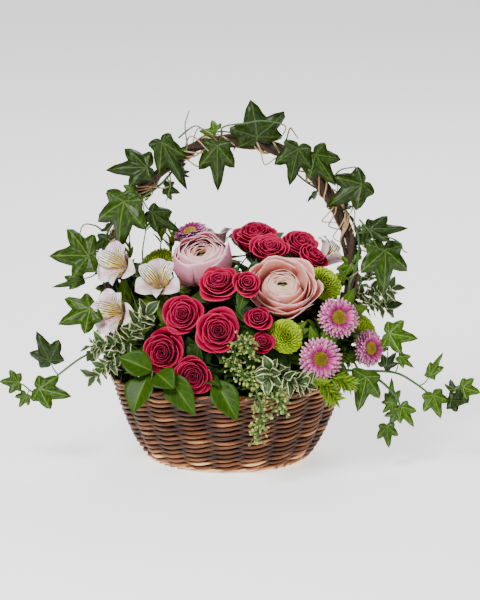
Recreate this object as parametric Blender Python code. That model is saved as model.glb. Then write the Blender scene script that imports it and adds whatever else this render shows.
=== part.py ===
"""A wicker basket of cut flowers, with ivy wound round its handle.

The basket stands on the origin with +Z up, and the viewer's side is -Y. Lengths are in millimetres
until mesh_object() turns them into metres, and angles are in degrees where a name or a table says so.
"""

import math
import random

import bmesh
import bpy
from mathutils import Matrix, Quaternion, Vector
from mathutils.bvhtree import BVHTree

MM = 0.001
GAP = 0.35  # between two pieces that touch
SHARP_ANGLE = 40.0
SEED = 11

# Basket: an oval bowl of willow, the same oval at every height
RIM_HALF = 112.0  # half the rim's width
BASE_HALF = 68.0  # half the foot's width
OVAL = 0.91  # depth over width
BASKET_HIGH = 82.0
WALL = 7.0
FLOOR = 5.0
ROUND = 28  # points round the wall, four to each pair of stakes
WEAVE_WAVES = 7
WEAVE_ROWS = 16
WEAVER_BULGE = 0.7
WEAVER_SWING = 0.5
GROOVE = 1.0
BORDER_BULGE = 3.0
BORDER_HIGH = 4.0

# Handle: a hoop of twisted vines pushed down between the wall and the liner
HOOP_HALF = 115.0
HOOP_HIGH = 136.0  # rise above the hoop's widest level
HOOP_LEVEL = 170.0
HOOP_LEAN = 7.0  # how far the top leans to the right
HOOP_THICK = 7.5  # radius of the bundle
HOOP_FOOT_THICK = 4.6
HOOP_FOOT_LEVEL = 40.0
HOOP_CLEAR = 1.8  # between its feet and the wall
HOOP_LEG = ((0, 3), (8, 28), (12.4, 58))  # how far out from the foot's line and above the rim it passes
HOOP_STEPS = 26
HOOP_LOBES = 3
HOOP_TWISTS = 5.0

# Liner and wet foam
LINER_TOP = 72.0
LINER_HALF_TOP = 88.0
LINER_HALF_BASE = 62.0
LINER_WALL = 1.4
BOWL_SIDES = 16
FOAM_CLEAR = 1.2
FOAM_SHOULDER = (5.0, 92.0)  # how much its edge is pared away there, and the height
FOAM_TOP = (18.0, 104.0)

# Stems fan out from one point deep in the foam, so no two of them cross there
FOCUS = Vector((5.0, 0.0, 52.0))
STEM_END = 32.0  # how far from that point a stem's cut end is
STEM_SIDES = 5
HOLE_DEEPER = 0.6  # a hole in the foam goes this much deeper than its stem
HOLE_PAST = 40.0  # and its cutter this far past the point where the stem leaves


# Colours, as base colour, roughness and metallic
FINISHES = {
    "willow": ((0.30, 0.13, 0.06), 0.65, 0.0),
    "vine": ((0.13, 0.07, 0.04), 0.75, 0.0),
    "plastic": ((0.03, 0.05, 0.03), 0.45, 0.0),
    "foam": ((0.05, 0.16, 0.06), 0.95, 0.0),
    "rose": ((0.66, 0.02, 0.11), 0.5, 0.0),
    "blush": ((0.86, 0.50, 0.48), 0.5, 0.0),
    "lime": ((0.42, 0.60, 0.05), 0.6, 0.0),
    "aster_pink": ((0.80, 0.25, 0.50), 0.55, 0.0),
    "aster_disc": ((0.55, 0.42, 0.03), 0.8, 0.0),
    "lily_white": ((0.85, 0.74, 0.72), 0.45, 0.0),
    "stem": ((0.10, 0.25, 0.06), 0.55, 0.0),
    "ivy": ((0.05, 0.17, 0.03), 0.4, 0.0),
    "variegated": ((0.35, 0.45, 0.24), 0.5, 0.0),
    "broadleaf": ((0.07, 0.26, 0.03), 0.35, 0.0),
    "seed": ((0.45, 0.55, 0.22), 0.6, 0.0),
}


def clear_scene():
    for obj in list(bpy.data.objects):
        bpy.data.objects.remove(obj)


def material(finish):
    found = bpy.data.materials.get(finish)
    if found:
        return found
    colour, rough, metallic = FINISHES[finish]
    made = bpy.data.materials.new(finish)
    made.use_nodes = True
    shader = made.node_tree.nodes["Principled BSDF"]
    shader.inputs["Base Color"].default_value = (*colour, 1)
    shader.inputs["Roughness"].default_value = rough
    shader.inputs["Metallic"].default_value = metallic
    made.diffuse_color = (*colour, 1)
    return made


def facing(turn, lift):
    """Unit direction: turn degrees from the viewer's side towards +X, lift degrees above level."""
    a, e = math.radians(turn), math.radians(lift)
    return Vector((math.sin(a) * math.cos(e), -math.cos(a) * math.cos(e), math.sin(e)))


def shade(mesh):
    """Smooth shading, with an edge left sharp where it turns by more than SHARP_ANGLE."""
    mesh.shade_smooth()
    mesh.set_sharp_from_angle(angle=math.radians(SHARP_ANGLE))


def mesh_object(name, bm, finish):
    """An object in metres from a bmesh in millimetres, whose faces are turned to point out."""
    bmesh.ops.recalc_face_normals(bm, faces=bm.faces)
    bmesh.ops.scale(bm, verts=bm.verts, vec=(MM, MM, MM))
    mesh = bpy.data.meshes.new(name)
    bm.to_mesh(mesh)
    bm.free()
    shade(mesh)
    obj = bpy.data.objects.new(name, mesh)
    mesh.materials.append(material(finish))
    bpy.context.scene.collection.objects.link(obj)
    return obj


def place(obj, at, direction, spin=0.0):
    """Puts an object's own origin at a point in millimetres, with its +Z along direction."""
    turn = direction.to_track_quat("Z", "Y") @ Quaternion((0, 0, 1), math.radians(spin))
    obj.rotation_mode = "QUATERNION"
    obj.rotation_quaternion = turn
    obj.location = at * MM
    bpy.context.view_layer.update()
    return obj


def combine(body, collection, operation):
    """Applies one Boolean of a whole collection to the body, and removes the collection's objects."""
    boolean = body.modifiers.new("boolean", "BOOLEAN")
    boolean.operation = operation
    boolean.operand_type = "COLLECTION"
    boolean.collection = collection
    boolean.solver = "MANIFOLD"
    graph = bpy.context.evaluated_depsgraph_get()
    body.data = bpy.data.meshes.new_from_object(body.evaluated_get(graph))
    body.modifiers.clear()
    shade(body.data)
    for obj in list(collection.objects):
        bpy.data.objects.remove(obj)
    bpy.data.collections.remove(collection)


def fuse(name, pieces, finish):
    """One body from closed, overlapping bmeshes: a Boolean union of the first with all the others."""
    body = mesh_object(name, pieces[0], finish)
    repeats = bpy.data.collections.new(name + "_repeats")
    for k, bm in enumerate(pieces[1:]):
        repeats.objects.link(mesh_object(f"{name}_{k}", bm, finish))
    combine(body, repeats, "UNION")
    return body


def loft(rings):
    """A closed body through rings of equally many points, capped at both ends."""
    bm = bmesh.new()
    loops = [[bm.verts.new(point) for point in points] for points in rings]
    for lower, upper in zip(loops, loops[1:]):
        for k in range(len(lower)):
            bm.faces.new((lower[k - 1], lower[k], upper[k], upper[k - 1]))
    bm.faces.new(loops[0])
    bm.faces.new(loops[-1])
    bmesh.ops.triangulate(bm, faces=bm.faces)
    return bm


def oval_ring(half_x, half_y, z, count, bulge=None):
    """Points round an oval, pushed out by bulge(angle) where that is given."""
    points = []
    for k in range(count):
        a = math.tau * k / count
        out = bulge(a) if bulge else 0.0
        points.append(Vector(((half_x + out) * math.cos(a), (half_y + out) * math.sin(a), z)))
    return points


def length_of(line):
    return sum((b - a).length for a, b in zip(line, line[1:]))


def sweep_frames(points):
    """A turn for each point of a line, so that its rings don't twist along the way."""
    ahead = [(b - a).normalized() for a, b in zip(points, points[1:])]
    tangents = [ahead[0]] + [a + b for a, b in zip(ahead, ahead[1:])] + [ahead[-1]]
    turn = tangents[0].to_track_quat("Z", "Y")
    frames = [turn]
    for before, after in zip(tangents, tangents[1:]):
        turn = before.rotation_difference(after) @ turn
        frames.append(turn)
    return frames


def tube(points, radii, sides=STEM_SIDES, lobe=None):
    """A closed tube along a line. lobe(step, angle) scales the radius, for a bundle that isn't round."""
    rings = []
    for i, (point, frame) in enumerate(zip(points, sweep_frames(points))):
        loop = []
        for k in range(sides):
            a = math.tau * k / sides
            r = radii[i] * (lobe(i, a) if lobe else 1.0)
            loop.append(point + frame @ Vector((r * math.cos(a), r * math.sin(a), 0)))
        rings.append(loop)
    return loft(rings)


def blade(outline, shape, thick, heart=None, tail=None):
    """A thin closed plate. outline is its edge as (across, along) points, heart the point its triangles
    meet at, and shape(across, along) bends it. tail holds the two end points of a stalk that grows from
    the first edge of the outline. Both faces are split into triangles alike."""
    bm = bmesh.new()
    disc = bmesh.ops.create_circle(bm, cap_ends=True, cap_tris=bool(heart), segments=len(outline), radius=1)
    edge = [v for v in disc["verts"] if v.co.length > 0.5]
    for vert, (across, along) in zip(edge, outline):
        vert.co = shape(across, along)
    for vert in bm.verts:
        if vert not in edge:
            vert.co = shape(*heart)
    if tail:
        root_edge = next(e for e in edge[0].link_edges if edge[1] in e.verts)
        grown = bmesh.ops.extrude_edge_only(bm, edges=[root_edge])["geom"]
        for vert in grown:
            if isinstance(vert, bmesh.types.BMVert):
                vert.co = min(tail, key=lambda p: (p - vert.co).length)
    bmesh.ops.triangulate(bm, faces=bm.faces)
    bmesh.ops.solidify(bm, geom=bm.verts[:] + bm.edges[:] + bm.faces[:], thickness=thick)
    return bm


def world_tree(obj):
    """The object's surface as a search tree, in millimetres in the world."""
    to_mm = Matrix.Scale(1 / MM, 4) @ obj.matrix_world
    points = [to_mm @ v.co for v in obj.data.vertices]
    return BVHTree.FromPolygons(points, [list(p.vertices) for p in obj.data.polygons])


def is_clear(bm, trees):
    """Whether a body, grown by the gap, meets none of the surfaces."""
    grown = bm.copy()
    bmesh.ops.recalc_face_normals(grown, faces=grown.faces)
    grown.normal_update()
    for vert in grown.verts:
        vert.co += vert.normal * GAP
    tree = BVHTree.FromBMesh(grown)
    grown.free()
    return not any(tree.overlap(other) for other in trees)


# Basket


def basket_half(z):
    return BASE_HALF + (RIM_HALF - BASE_HALF) * math.sqrt(max(z, 0.0) / BASKET_HIGH)


def wall_ring(z, out=0.0, bulge=None):
    """The wall's oval at a height, moved outwards by out."""
    half = basket_half(z)
    return oval_ring(half + out, half * OVAL + out, z, ROUND, bulge)


def weaver_swing(row):
    """A row of weavers swings out over one stake and in behind the next, and the row above the other way."""
    return lambda a: WEAVER_BULGE + WEAVER_SWING * math.cos(WEAVE_WAVES * a + math.pi * row)


def build_basket():
    """The woven wall: rows of weavers with a groove above each, a rolled border and the smooth inside."""
    rings = [wall_ring(0)]
    row_high = (BASKET_HIGH - BORDER_HIGH) / WEAVE_ROWS
    for row in range(WEAVE_ROWS):
        rings.append(wall_ring(row_high * (row + 0.5), bulge=weaver_swing(row)))
        rings.append(wall_ring(row_high * (row + 1), -GROOVE))
    rings.append(wall_ring(BASKET_HIGH - BORDER_HIGH * 0.4, BORDER_BULGE))
    rings.append(wall_ring(BASKET_HIGH + BORDER_HIGH * 0.6, -WALL / 2))
    for z in (BASKET_HIGH - 1, BASKET_HIGH * 0.36, FLOOR):
        rings.append(wall_ring(z, -WALL))
    return mesh_object("basket", loft(rings), "willow")


# Handle


def hoop_points():
    """The handle's centre line, from its left foot over the top to its right foot."""
    inside = WALL + HOOP_FOOT_THICK + HOOP_CLEAR
    foot = basket_half(HOOP_FOOT_LEVEL) - inside
    rim = basket_half(BASKET_HIGH) - inside
    half = [(foot, HOOP_FOOT_LEVEL), ((foot + rim) / 2, (HOOP_FOOT_LEVEL + BASKET_HIGH) / 2)]
    half += [(rim + out, BASKET_HIGH + up) for out, up in HOOP_LEG]
    for k in range(HOOP_STEPS // 2 + 1):
        a = math.pi * k / HOOP_STEPS
        half.append((HOOP_HALF * math.cos(a), HOOP_LEVEL + HOOP_HIGH * math.sin(a)))
    lean = HOOP_LEAN / (HOOP_LEVEL + HOOP_HIGH - BASKET_HIGH)
    left, right = (
        [Vector((side * x + lean * max(z - BASKET_HIGH, 0), 0, z)) for x, z in half] for side in (-1, 1)
    )
    return left + right[-2::-1]


def hoop_radius(z):
    """The bundle is slimmer where it is pushed down inside the wall."""
    share = min(max((z - BASKET_HIGH) / 40.0, 0.0), 1.0)
    return HOOP_FOOT_THICK + (HOOP_THICK - HOOP_FOOT_THICK) * share


def build_handle(line):
    def lobe(step, a):
        return 0.88 + 0.12 * math.cos(HOOP_LOBES * a + math.tau * HOOP_TWISTS * step / len(line))

    bm = tube(line, [hoop_radius(p.z) for p in line], 2 * HOOP_LOBES, lobe)
    return mesh_object("handle", bm, "vine")


# Liner and foam


def build_liner():
    floor = FLOOR + GAP
    outer = [(LINER_HALF_BASE, floor), (LINER_HALF_TOP, LINER_TOP)]
    inner = [(LINER_HALF_TOP - LINER_WALL, LINER_TOP), (LINER_HALF_BASE - LINER_WALL, floor + LINER_WALL)]
    rings = [oval_ring(half, half * OVAL, z, BOWL_SIDES) for half, z in outer + inner]
    return mesh_object("liner", loft(rings), "plastic")


def foam_half(z):
    share = (z - FLOOR) / (LINER_TOP - FLOOR)
    return LINER_HALF_BASE + (LINER_HALF_TOP - LINER_HALF_BASE) * min(share, 1.0) - LINER_WALL - FOAM_CLEAR


def build_foam():
    bottom = FLOOR + GAP + LINER_WALL + GAP
    wide = foam_half(LINER_TOP)
    levels = [(foam_half(bottom), 0, bottom), (wide, 0, LINER_TOP)]
    levels += [(wide, *FOAM_SHOULDER), (wide, *FOAM_TOP)]
    rings = [oval_ring(half - cut, half * OVAL - cut, z, BOWL_SIDES) for half, cut, z in levels]
    return mesh_object("foam", loft(rings), "foam")


def cut_end(top):
    """The cut end in the foam of a stem that leaves it towards top."""
    return FOCUS + (top - FOCUS).normalized() * STEM_END


def pierce(foam, bores):
    """Cuts a plain hole in the foam for each stem, given as the point where it leaves and its radius."""
    holes = bpy.data.collections.new("stem_holes")
    for k, (top, radius) in enumerate(bores):
        along = (top - FOCUS).normalized()
        wide = (radius + GAP) / math.cos(math.pi / STEM_SIDES)
        bm = tube([cut_end(top) - along * HOLE_DEEPER, top + along * HOLE_PAST], [wide] * 2)
        holes.objects.link(mesh_object(f"stem_hole_{k}", bm, "foam"))
    combine(foam, holes, "DIFFERENCE")


# Blooms, each made with its base at the origin and its face along +Z

PETAL_EDGE = ((-0.45, 0), (0.45, 0), (1, 0.62), (0.5, 1), (-0.5, 1), (-1, 0.62))
NARROW_EDGE = ((-0.5, 0), (0.5, 0), (1, 0.7), (0, 1.04), (-1, 0.7))
PETAL_HEART = (0, 0.6)
PETAL_THICK = 0.9
ASTER_SEAT = 6.0  # height of the upper row of rays above the base of the head
RAY_NOTCH = 0.55  # how far out the gaps between rays start
BUD_WIDE = 33  # a rose narrower than this is half open


def cup_petal(turn, span, root, tip, flare, swell, scale, edge=PETAL_EDGE):
    """A petal wrapped round the bloom's axis. turn and span are degrees, root and tip are (radius, height),
    flare bends the lip out, and swell gives the profile a belly."""

    def shape(across, along):
        a = math.radians(turn + across * span / 2)
        r = root[0] + (tip[0] - root[0]) * along**0.75 + swell * math.sin(math.pi * min(along, 1))
        r += flare * max(along - 0.6, 0) ** 2 * 6
        z = root[1] + (tip[1] - root[1]) * along**1.1
        return Vector((r * math.cos(a), r * math.sin(a), z)) * scale

    return blade(edge, shape, PETAL_THICK, None if edge is NARROW_EDGE else PETAL_HEART)


def whorl_petals(whorl, scale):
    """A ring of petals: their number, the first one's turn, then what cup_petal takes, and their edge."""
    count, turn, *shape = whorl
    return [cup_petal(turn + 360 / count * k, *shape[:-1], scale, shape[-1]) for k in range(count)]


def core(radii_heights, sides=6):
    """A turned plug up the axis, given as (radius, height) from its base."""
    rings = [oval_ring(r, r, z, sides) for r, z in radii_heights]
    return loft(rings)


def build_rose(name, wide):
    """A spray rose: a tight heart of three petals, then whorls that open outwards, one less on a bud."""
    s = wide / 38.0
    pieces = [core([(4.2 * s, 0), (4.6 * s, 6 * s)], 4)]
    whorls = (
        (3, 20, 96, (2.4, 4.0), (8.6, 19.0), 0.0, 1.4, NARROW_EDGE),
        (3, 80, 100, (2.0, 2.8), (13.0, 18.0), 0.6, 2.8, NARROW_EDGE),
        (3, 20, 108, (1.6, 1.4), (17.0, 14.5), 1.5, 3.6, PETAL_EDGE),
    )
    for whorl in whorls[: 3 if wide > BUD_WIDE else 2]:
        pieces += whorl_petals(whorl, s)
    return fuse(name, pieces, "rose")


def build_ranunculus(name, wide):
    """Papery petals in four cupped whorls round a closed button."""
    s = wide / 68.0
    pieces = [core([(9 * s, 0), (10 * s, 14 * s), (4 * s, 25 * s)], 5)]
    whorls = (
        (3, 60, 112, (6.0, 7.0), (19.0, 29.0), 0.0, 5.0, PETAL_EDGE),
        (4, 20, 86, (5.0, 4.0), (25.5, 26.0), 0.6, 5.0, PETAL_EDGE),
        (5, 40, 69, (4.0, 1.6), (30.5, 19.0), 1.6, 4.5, PETAL_EDGE),
    )
    for whorl in whorls:
        pieces += whorl_petals(whorl, s)
    return fuse(name, pieces, "blush")


def build_pompon(name, wide):
    """A button chrysanthemum: a low ball whose faces are drawn out into short quilled florets."""
    bm = bmesh.new()
    bmesh.ops.create_icosphere(bm, subdivisions=2, radius=wide * 0.40)
    bm.normal_update()
    bmesh.ops.poke(bm, faces=[f for f in bm.faces if f.normal.z > -0.6], offset=wide * 0.13)
    bmesh.ops.scale(bm, verts=bm.verts, vec=(1, 1, 0.72))
    bmesh.ops.translate(bm, verts=bm.verts, vec=(0, 0, wide * 0.36))
    seat = core([(3.4, 0), (4.2, wide * 0.2)])
    return fuse(name, [bm, seat], "lime")


def star_layer(count, reach, low, rise, spin):
    """A ring of pointed ray florets as one star, level in the middle, with its tips raised by rise."""

    def shape(across, along):
        a = math.radians(across + spin)
        r = reach * along
        return Vector((r * math.cos(a), r * math.sin(a), low + rise * (along - RAY_NOTCH) / (1 - RAY_NOTCH)))

    edge = []
    for k in range(count):
        edge.append((360 / count * k, 1))
        edge.append((360 / count * (k + 0.5), RAY_NOTCH))
    return blade(edge, shape, PETAL_THICK)


def build_aster(name, wide):
    """Ray florets in two rows. The yellow disc is a piece of its own that sits on top."""
    r = wide / 2
    pieces = [
        core([(3.6, 0), (3.6, ASTER_SEAT - PETAL_THICK / 2)], 4),
        star_layer(14, r, 3.4, 3.0, 0),
        star_layer(11, r * 0.84, ASTER_SEAT, 6.0, 9),
    ]
    return fuse(name, pieces, "aster_pink")


def build_aster_disc(name):
    """The button of tiny tube florets at the middle of an aster."""
    bm = core([(4.6, ASTER_SEAT + GAP), (5.6, ASTER_SEAT + 1.6), (3.4, ASTER_SEAT + 3.4)], 8)
    return mesh_object(name, bm, "aster_disc")


def build_lily(name, wide):
    """An alstroemeria trumpet: three broad outer tepals and three narrow inner ones."""
    s = wide / 48.0
    pieces = [core([(2.6 * s, 0), (3.0 * s, 9 * s)], 4)]
    pieces += whorl_petals((3, 0, 84, (1.4, 1.2), (17.0, 27.0), 3.0, 0.0, PETAL_EDGE), s)
    pieces += whorl_petals((3, 60, 50, (1.4, 3.2), (15.0, 29.0), 1.5, 0.0, NARROW_EDGE), s)
    return fuse(name, pieces, "lily_white")


# Where each bloom's face is, its width, and the way it faces: (x, y, z), width, turn, lift
ROSES = {
    "rose_1": ((-62, -87, 123), 40, -18, 14),
    "rose_2": ((-33, -104, 104), 35, -8, 6),
    "rose_3": ((-43, -80, 159), 37, -16, 26),
    "rose_4": ((-9, -95, 147), 40, -3, 24),
    "rose_5": ((-9, -68, 190), 38, -16, 56),
    "rose_6": ((18, -86, 191), 26, 6, 38),
    "rose_7": ((28, -90, 159), 25, -2, 44),
    "rose_8": ((33, -98, 137), 22, 5, 40),
    "rose_9": ((25, 34, 213), 44, -10, 74),
    "rose_10": ((40, -9, 209), 36, 10, 64),
    "rose_11": ((72, 44, 201), 36, 40, 62),
    "rose_12": ((84, 13, 195), 32, 62, 52),
    "rose_13": ((48, 86, 152), 40, 152, 38),
}
RANUNCULUS = {
    "ranunculus_1": ((52, -54, 185), 68, 6, 46),
    "ranunculus_2": ((-26, -20, 206), 60, -12, 64),
    "ranunculus_3": ((-24, 80, 160), 60, -166, 40),
}
POMPONS = {
    "button_mum_1": ((95, -16, 178), 38, 35, 46),
    "button_mum_2": ((57, -89, 143), 36, 22, 34),
    "button_mum_3": ((138, 12, 125), 35, 75, 32),
    "button_mum_4": ((-74, 16, 193), 38, -70, 56),
    "button_mum_5": ((-80, 72, 136), 36, -132, 32),
}
ASTERS = {
    "aster_1": ((105, -54, 149), 41, 16, 26),
    "aster_2": ((87, -88, 117), 42, 8, 14),
    "aster_3": ((136, -32, 113), 37, 42, 14),
    "aster_4": ((-37, 28, 214), 36, -60, 70),
}
LILIES = {
    "alstroemeria_1": ((-107, -36, 196), 48, -38, 22),
    "alstroemeria_2": ((-110, -42, 150), 50, -34, 14),
    "alstroemeria_3": ((-66, -54, 186), 48, -14, 40),
    "alstroemeria_4": ((102, 38, 192), 42, 110, 42),
    "alstroemeria_5": ((-12, 52, 204), 40, -170, 66),
}
# How deep each kind of bloom is from its face back to its base, as a share of its width
DEPTHS = {"rose": 0.47, "ranunculus": 0.42, "button_mum": 0.5, "aster": 0.22, "alstroemeria": 0.55}


def base_of(name, at, wide, turn, lift):
    return Vector(at) - facing(turn, lift) * wide * DEPTHS[name.rsplit("_", 1)[0]]


def build_blooms():
    """Makes every bloom and seats it. Returns each one's base point and facing, for its stem."""
    seats = {}
    for table in (ROSES, RANUNCULUS, POMPONS, ASTERS, LILIES):
        for k, (name, (at, wide, turn, lift)) in enumerate(table.items()):
            base = base_of(name, at, wide, turn, lift)
            seats[name] = (base, facing(turn, lift))
            if table is ROSES:
                made = [build_rose(name, wide)]
            elif table is RANUNCULUS:
                made = [build_ranunculus(name, wide)]
            elif table is POMPONS:
                made = [build_pompon(name, wide)]
            elif table is ASTERS:
                made = [build_aster(name, wide), build_aster_disc(name + "_disc")]
            else:
                made = [build_lily(name, wide)]
            for obj in made:
                place(obj, base, seats[name][1], 47 * k)
    return seats


# Stems, as the point where each one forks, the blooms it carries, its radius and its number of leaves

STEMS = {
    "rose_stem_1": ((-25, -56, 110), ("rose_1", "rose_2", "rose_3", "rose_4"), 2.2, 4),
    "rose_stem_2": ((12, -42, 118), ("rose_5", "rose_6", "rose_7", "rose_8"), 2.2, 3),
    "rose_stem_3": ((34, 14, 132), ("rose_9", "rose_10", "rose_11", "rose_12"), 2.2, 3),
    "rose_stem_4": ((32, 52, 112), ("rose_13",), 2.2, 5),
    "ranunculus_stem_1": ((38, -28, 130), ("ranunculus_1",), 2.4, 1),
    "ranunculus_stem_2": ((-18, -8, 130), ("ranunculus_2",), 2.4, 1),
    "ranunculus_stem_3": ((-18, 48, 112), ("ranunculus_3",), 2.4, 2),
    "button_mum_stem_1": ((74, -14, 112), ("button_mum_1", "button_mum_2", "button_mum_3"), 2.0, 3),
    "button_mum_stem_2": ((-46, 26, 112), ("button_mum_4", "button_mum_5"), 2.0, 4),
    "aster_stem_1": ((74, -46, 106), ("aster_1", "aster_2", "aster_3"), 1.8, 3),
    "aster_stem_2": ((-22, 20, 130), ("aster_4",), 1.8, 2),
    "alstroemeria_stem_1": (
        (-56, -26, 114),
        ("alstroemeria_1", "alstroemeria_2", "alstroemeria_3"),
        2.2,
        3,
    ),
    "alstroemeria_stem_2": ((36, 34, 128), ("alstroemeria_4", "alstroemeria_5"), 2.0, 2),
}
NECK = 5.0  # the green cup under a bloom
CUP_HALF = 3.6
BRANCH_SHARE = 0.68  # a branch's radius over its stem's
BRANCH_BOW = 4.0
LEAF_LONG = 30.0
LEAF_THICK = 0.8
LEAF_FOLD = 0.14
LEAF_DROOP = 0.12
STALK_HALF = 0.7
STALK_TURN = -0.2  # a stalk comes from behind its leaf, or at most this much from in front
LEAF_EDGE = ((-0.12, 0), (0.12, 0), (1, 0.45), (0, 1), (-1, 0.45))
IVY_EDGE = (
    (-0.1, 0.04),
    (0.1, 0.04),
    (0.55, -0.05),
    (1, 0.36),
    (0.42, 0.56),
    (0, 1),
    (-0.42, 0.56),
    (-1, 0.36),
    (-0.55, -0.05),
)
LEAF_HEART = (0, 0.4)
NUDGES = 60  # how often a leaf is moved about before it is given up


def branch_points(fork, base, way):
    """A branch's line from its fork to the base of its bloom."""
    neck = base - way * (GAP + NECK)
    return [fork, neck.lerp(fork, 0.45) - way * BRANCH_BOW, neck, base - way * GAP]


def stem_pieces(fork, carried, radius, seats):
    """The cut stem up to its fork, and a branch to each bloom that widens to a green cup under it."""
    end = cut_end(fork)
    pieces = [tube([end, fork + (fork - end).normalized() * radius], [radius] * 2)]
    slim = radius * BRANCH_SHARE
    for name in carried:
        pieces.append(tube(branch_points(fork, *seats[name]), [slim, slim, slim * 1.1, CUP_HALF], 3))
    return pieces


def leaf(root, tip, face, wide, edge=LEAF_EDGE, spot=None):
    """A leaf from root to tip whose upper side looks towards face, folded on its rib and drooping.
    With a spot, a stalk joins the root to it."""
    along_axis = (tip - root).normalized()
    side = along_axis.cross(face).normalized()
    up = side.cross(along_axis)
    long = (tip - root).length

    def shape(across, along):
        raised = abs(across) * wide * LEAF_FOLD - LEAF_DROOP * along * along * long
        return root + along_axis * (along * long) + side * (across * wide / 2) + up * raised

    if not spot:
        return blade(edge, shape, LEAF_THICK, LEAF_HEART)
    stalk = (root - spot).normalized()
    spread = side - stalk * side.dot(stalk)
    spread = spread.normalized() * STALK_HALF
    return blade(edge, shape, LEAF_THICK, LEAF_HEART, (spot - spread, spot + spread))


def along_lines(lines):
    """Points along some lines, from which stalks can grow."""
    return [a.lerp(b, t / 4) for line in lines for a, b in zip(line, line[1:]) for t in range(4)]


def try_leaf(spots, root, tip, face, wide, edge, trees, rng):
    """A leaf on a stalk from one of the nearest spots, nudged about until it clears every tree."""
    for attempt in range(NUDGES):
        nudge = Vector([rng.uniform(-1, 1) for _ in range(3)]) * attempt * 0.25
        start = root + nudge
        behind = [p for p in spots if (start - p).normalized().dot((tip - root).normalized()) > STALK_TURN]
        for spot in sorted(behind, key=lambda p: (p - start).length)[:4]:
            made = leaf(start, tip + nudge, face, wide, edge, spot)
            if is_clear(made, trees):
                return made
            made.free()
    return None


def stem_leaves(fork, carried, seats, count, trees, rng):
    """Leaves rooted on a stem's branches, wherever there is room for one."""
    pieces = []
    trees = list(trees)
    for attempt in range(count * 40):
        if len(pieces) == count:
            break
        line = branch_points(fork, *seats[carried[attempt % len(carried)]])
        spot = line[0].lerp(line[1], rng.uniform(0.3, 1))
        out = (spot - FOCUS).normalized()
        reach = (out * 0.6 + Vector([rng.uniform(-1, 1) for _ in range(3)])).normalized()
        made = leaf(spot, spot + reach * LEAF_LONG, out, LEAF_LONG * 0.6)
        if is_clear(made, trees):
            pieces.append(made)
            trees.append(BVHTree.FromBMesh(made))
        else:
            made.free()
    return pieces


def build_stems(seats, trees, foam_tree):
    """Every flower stem. The bare stems are placed first, so that no leaf crosses one."""
    rng = random.Random(SEED)
    bare = {name: stem_pieces(Vector(row[0]), row[1], row[2], seats) for name, row in STEMS.items()}
    bare_trees = {name: [BVHTree.FromBMesh(bm) for bm in pieces] for name, pieces in bare.items()}
    for name, (fork, carried, radius, count) in STEMS.items():
        others = [tree for other, found in bare_trees.items() if other != name for tree in found]
        leaves = stem_leaves(Vector(fork), carried, seats, count, trees + others + [foam_tree], rng)
        trees.append(world_tree(fuse(name, bare[name] + leaves, "stem")))
    return [(Vector(fork), radius) for fork, _, radius, _ in STEMS.values()]


# Foliage. A sprig is its lines, the first one starting in the foam, and its leaves as
# (root, tip, width, (turn, lift) of its upper side)

IVY_RADIUS = 1.3
TWIG_RADIUS = 1.4
TWIG_SIDES = 4
IVY_OFF = 1.5  # between the vine and the handle
IVY_LEFT_HANDLE_LEAVES = (
    ((-76, -14, 284), (-114, -20, 284), 36, (-25, 20)),
    ((-62, -14, 308), (-38, -20, 262), 30, (-10, 25)),
    ((-10, -16, 305), (-10, -24, 262), 34, (-5, 20)),
    ((28, -10, 312), (22, -16, 348), 54, (8, 25)),
    ((24, 14, 306), (-10, 16, 298), 26, (160, 50)),
    ((-98, -18, 252), (-106, -26, 206), 52, (-30, 20)),
    ((-72, -12, 240), (-44, -18, 222), 25, (-5, 30)),
    ((-88, -14, 262), (-104, -16, 257), 15, (-20, 30)),
    ((-131, -28, 202), (-168, -34, 203), 46, (-35, 20)),
    ((-138, -24, 178), (-166, -30, 172), 15, (-40, 20)),
    ((-130, -34, 152), (-160, -44, 141), 44, (-40, 20)),
)
IVY_RIGHT_HANDLE_LEAVES = (
    ((66, -16, 302), (58, -24, 268), 34, (6, 20)),
    ((82, -14, 296), (102, -22, 268), 37, (16, 20)),
    ((126, -14, 268), (92, -22, 247), 38, (10, 20)),
    ((134, -12, 224), (170, -18, 226), 26, (30, 30)),
    ((148, -14, 204), (150, -28, 164), 50, (30, 20)),
)
IVY_LEFT_TRAIL = (
    (-84, -40, 112),
    (-112, -44, 112),
    (-134, -40, 108),
    (-160, -44, 90),
    (-180, -48, 74),
    (-194, -48, 82),
)
IVY_LEFT_TRAIL_LEAVES = (
    ((-168, -44, 104), (-181, -48, 132), 33, (-25, 20)),
    ((-178, -50, 78), (-147, -56, 72), 32, (-10, 25)),
    ((-198, -48, 84), (-215, -52, 86), 22, (-20, 20)),
)
IVY_RIGHT_TRAIL = (
    (96, -34, 92),
    (128, -44, 94),
    (158, -44, 92),
    (178, -40, 80),
    (194, -40, 68),
    (210, -40, 64),
    (222, -38, 76),
)
IVY_RIGHT_DROP = ((128, -44, 94), (148, -50, 82), (162, -50, 62), (150, -54, 42))
IVY_RIGHT_TRAIL_LEAVES = (
    ((152, -36, 128), (179, -42, 126), 32, (35, 20)),
    ((162, -46, 108), (176, -48, 98), 14, (20, 20)),
    ((191, -40, 88), (203, -44, 112), 15, (20, 20)),
    ((194, -44, 70), (202, -52, 50), 27, (15, 20)),
    ((222, -38, 76), (239, -42, 72), 25, (20, 20)),
    ((155, -36, 58), (156, -34, 84), 16, (10, 20)),
    ((164, -50, 60), (176, -56, 42), 20, (15, 20)),
    ((150, -54, 42), (152, -58, 22), 20, (5, 20)),
    ((130, -58, 92), (124, -72, 62), 37, (20, 20)),
)


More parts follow.
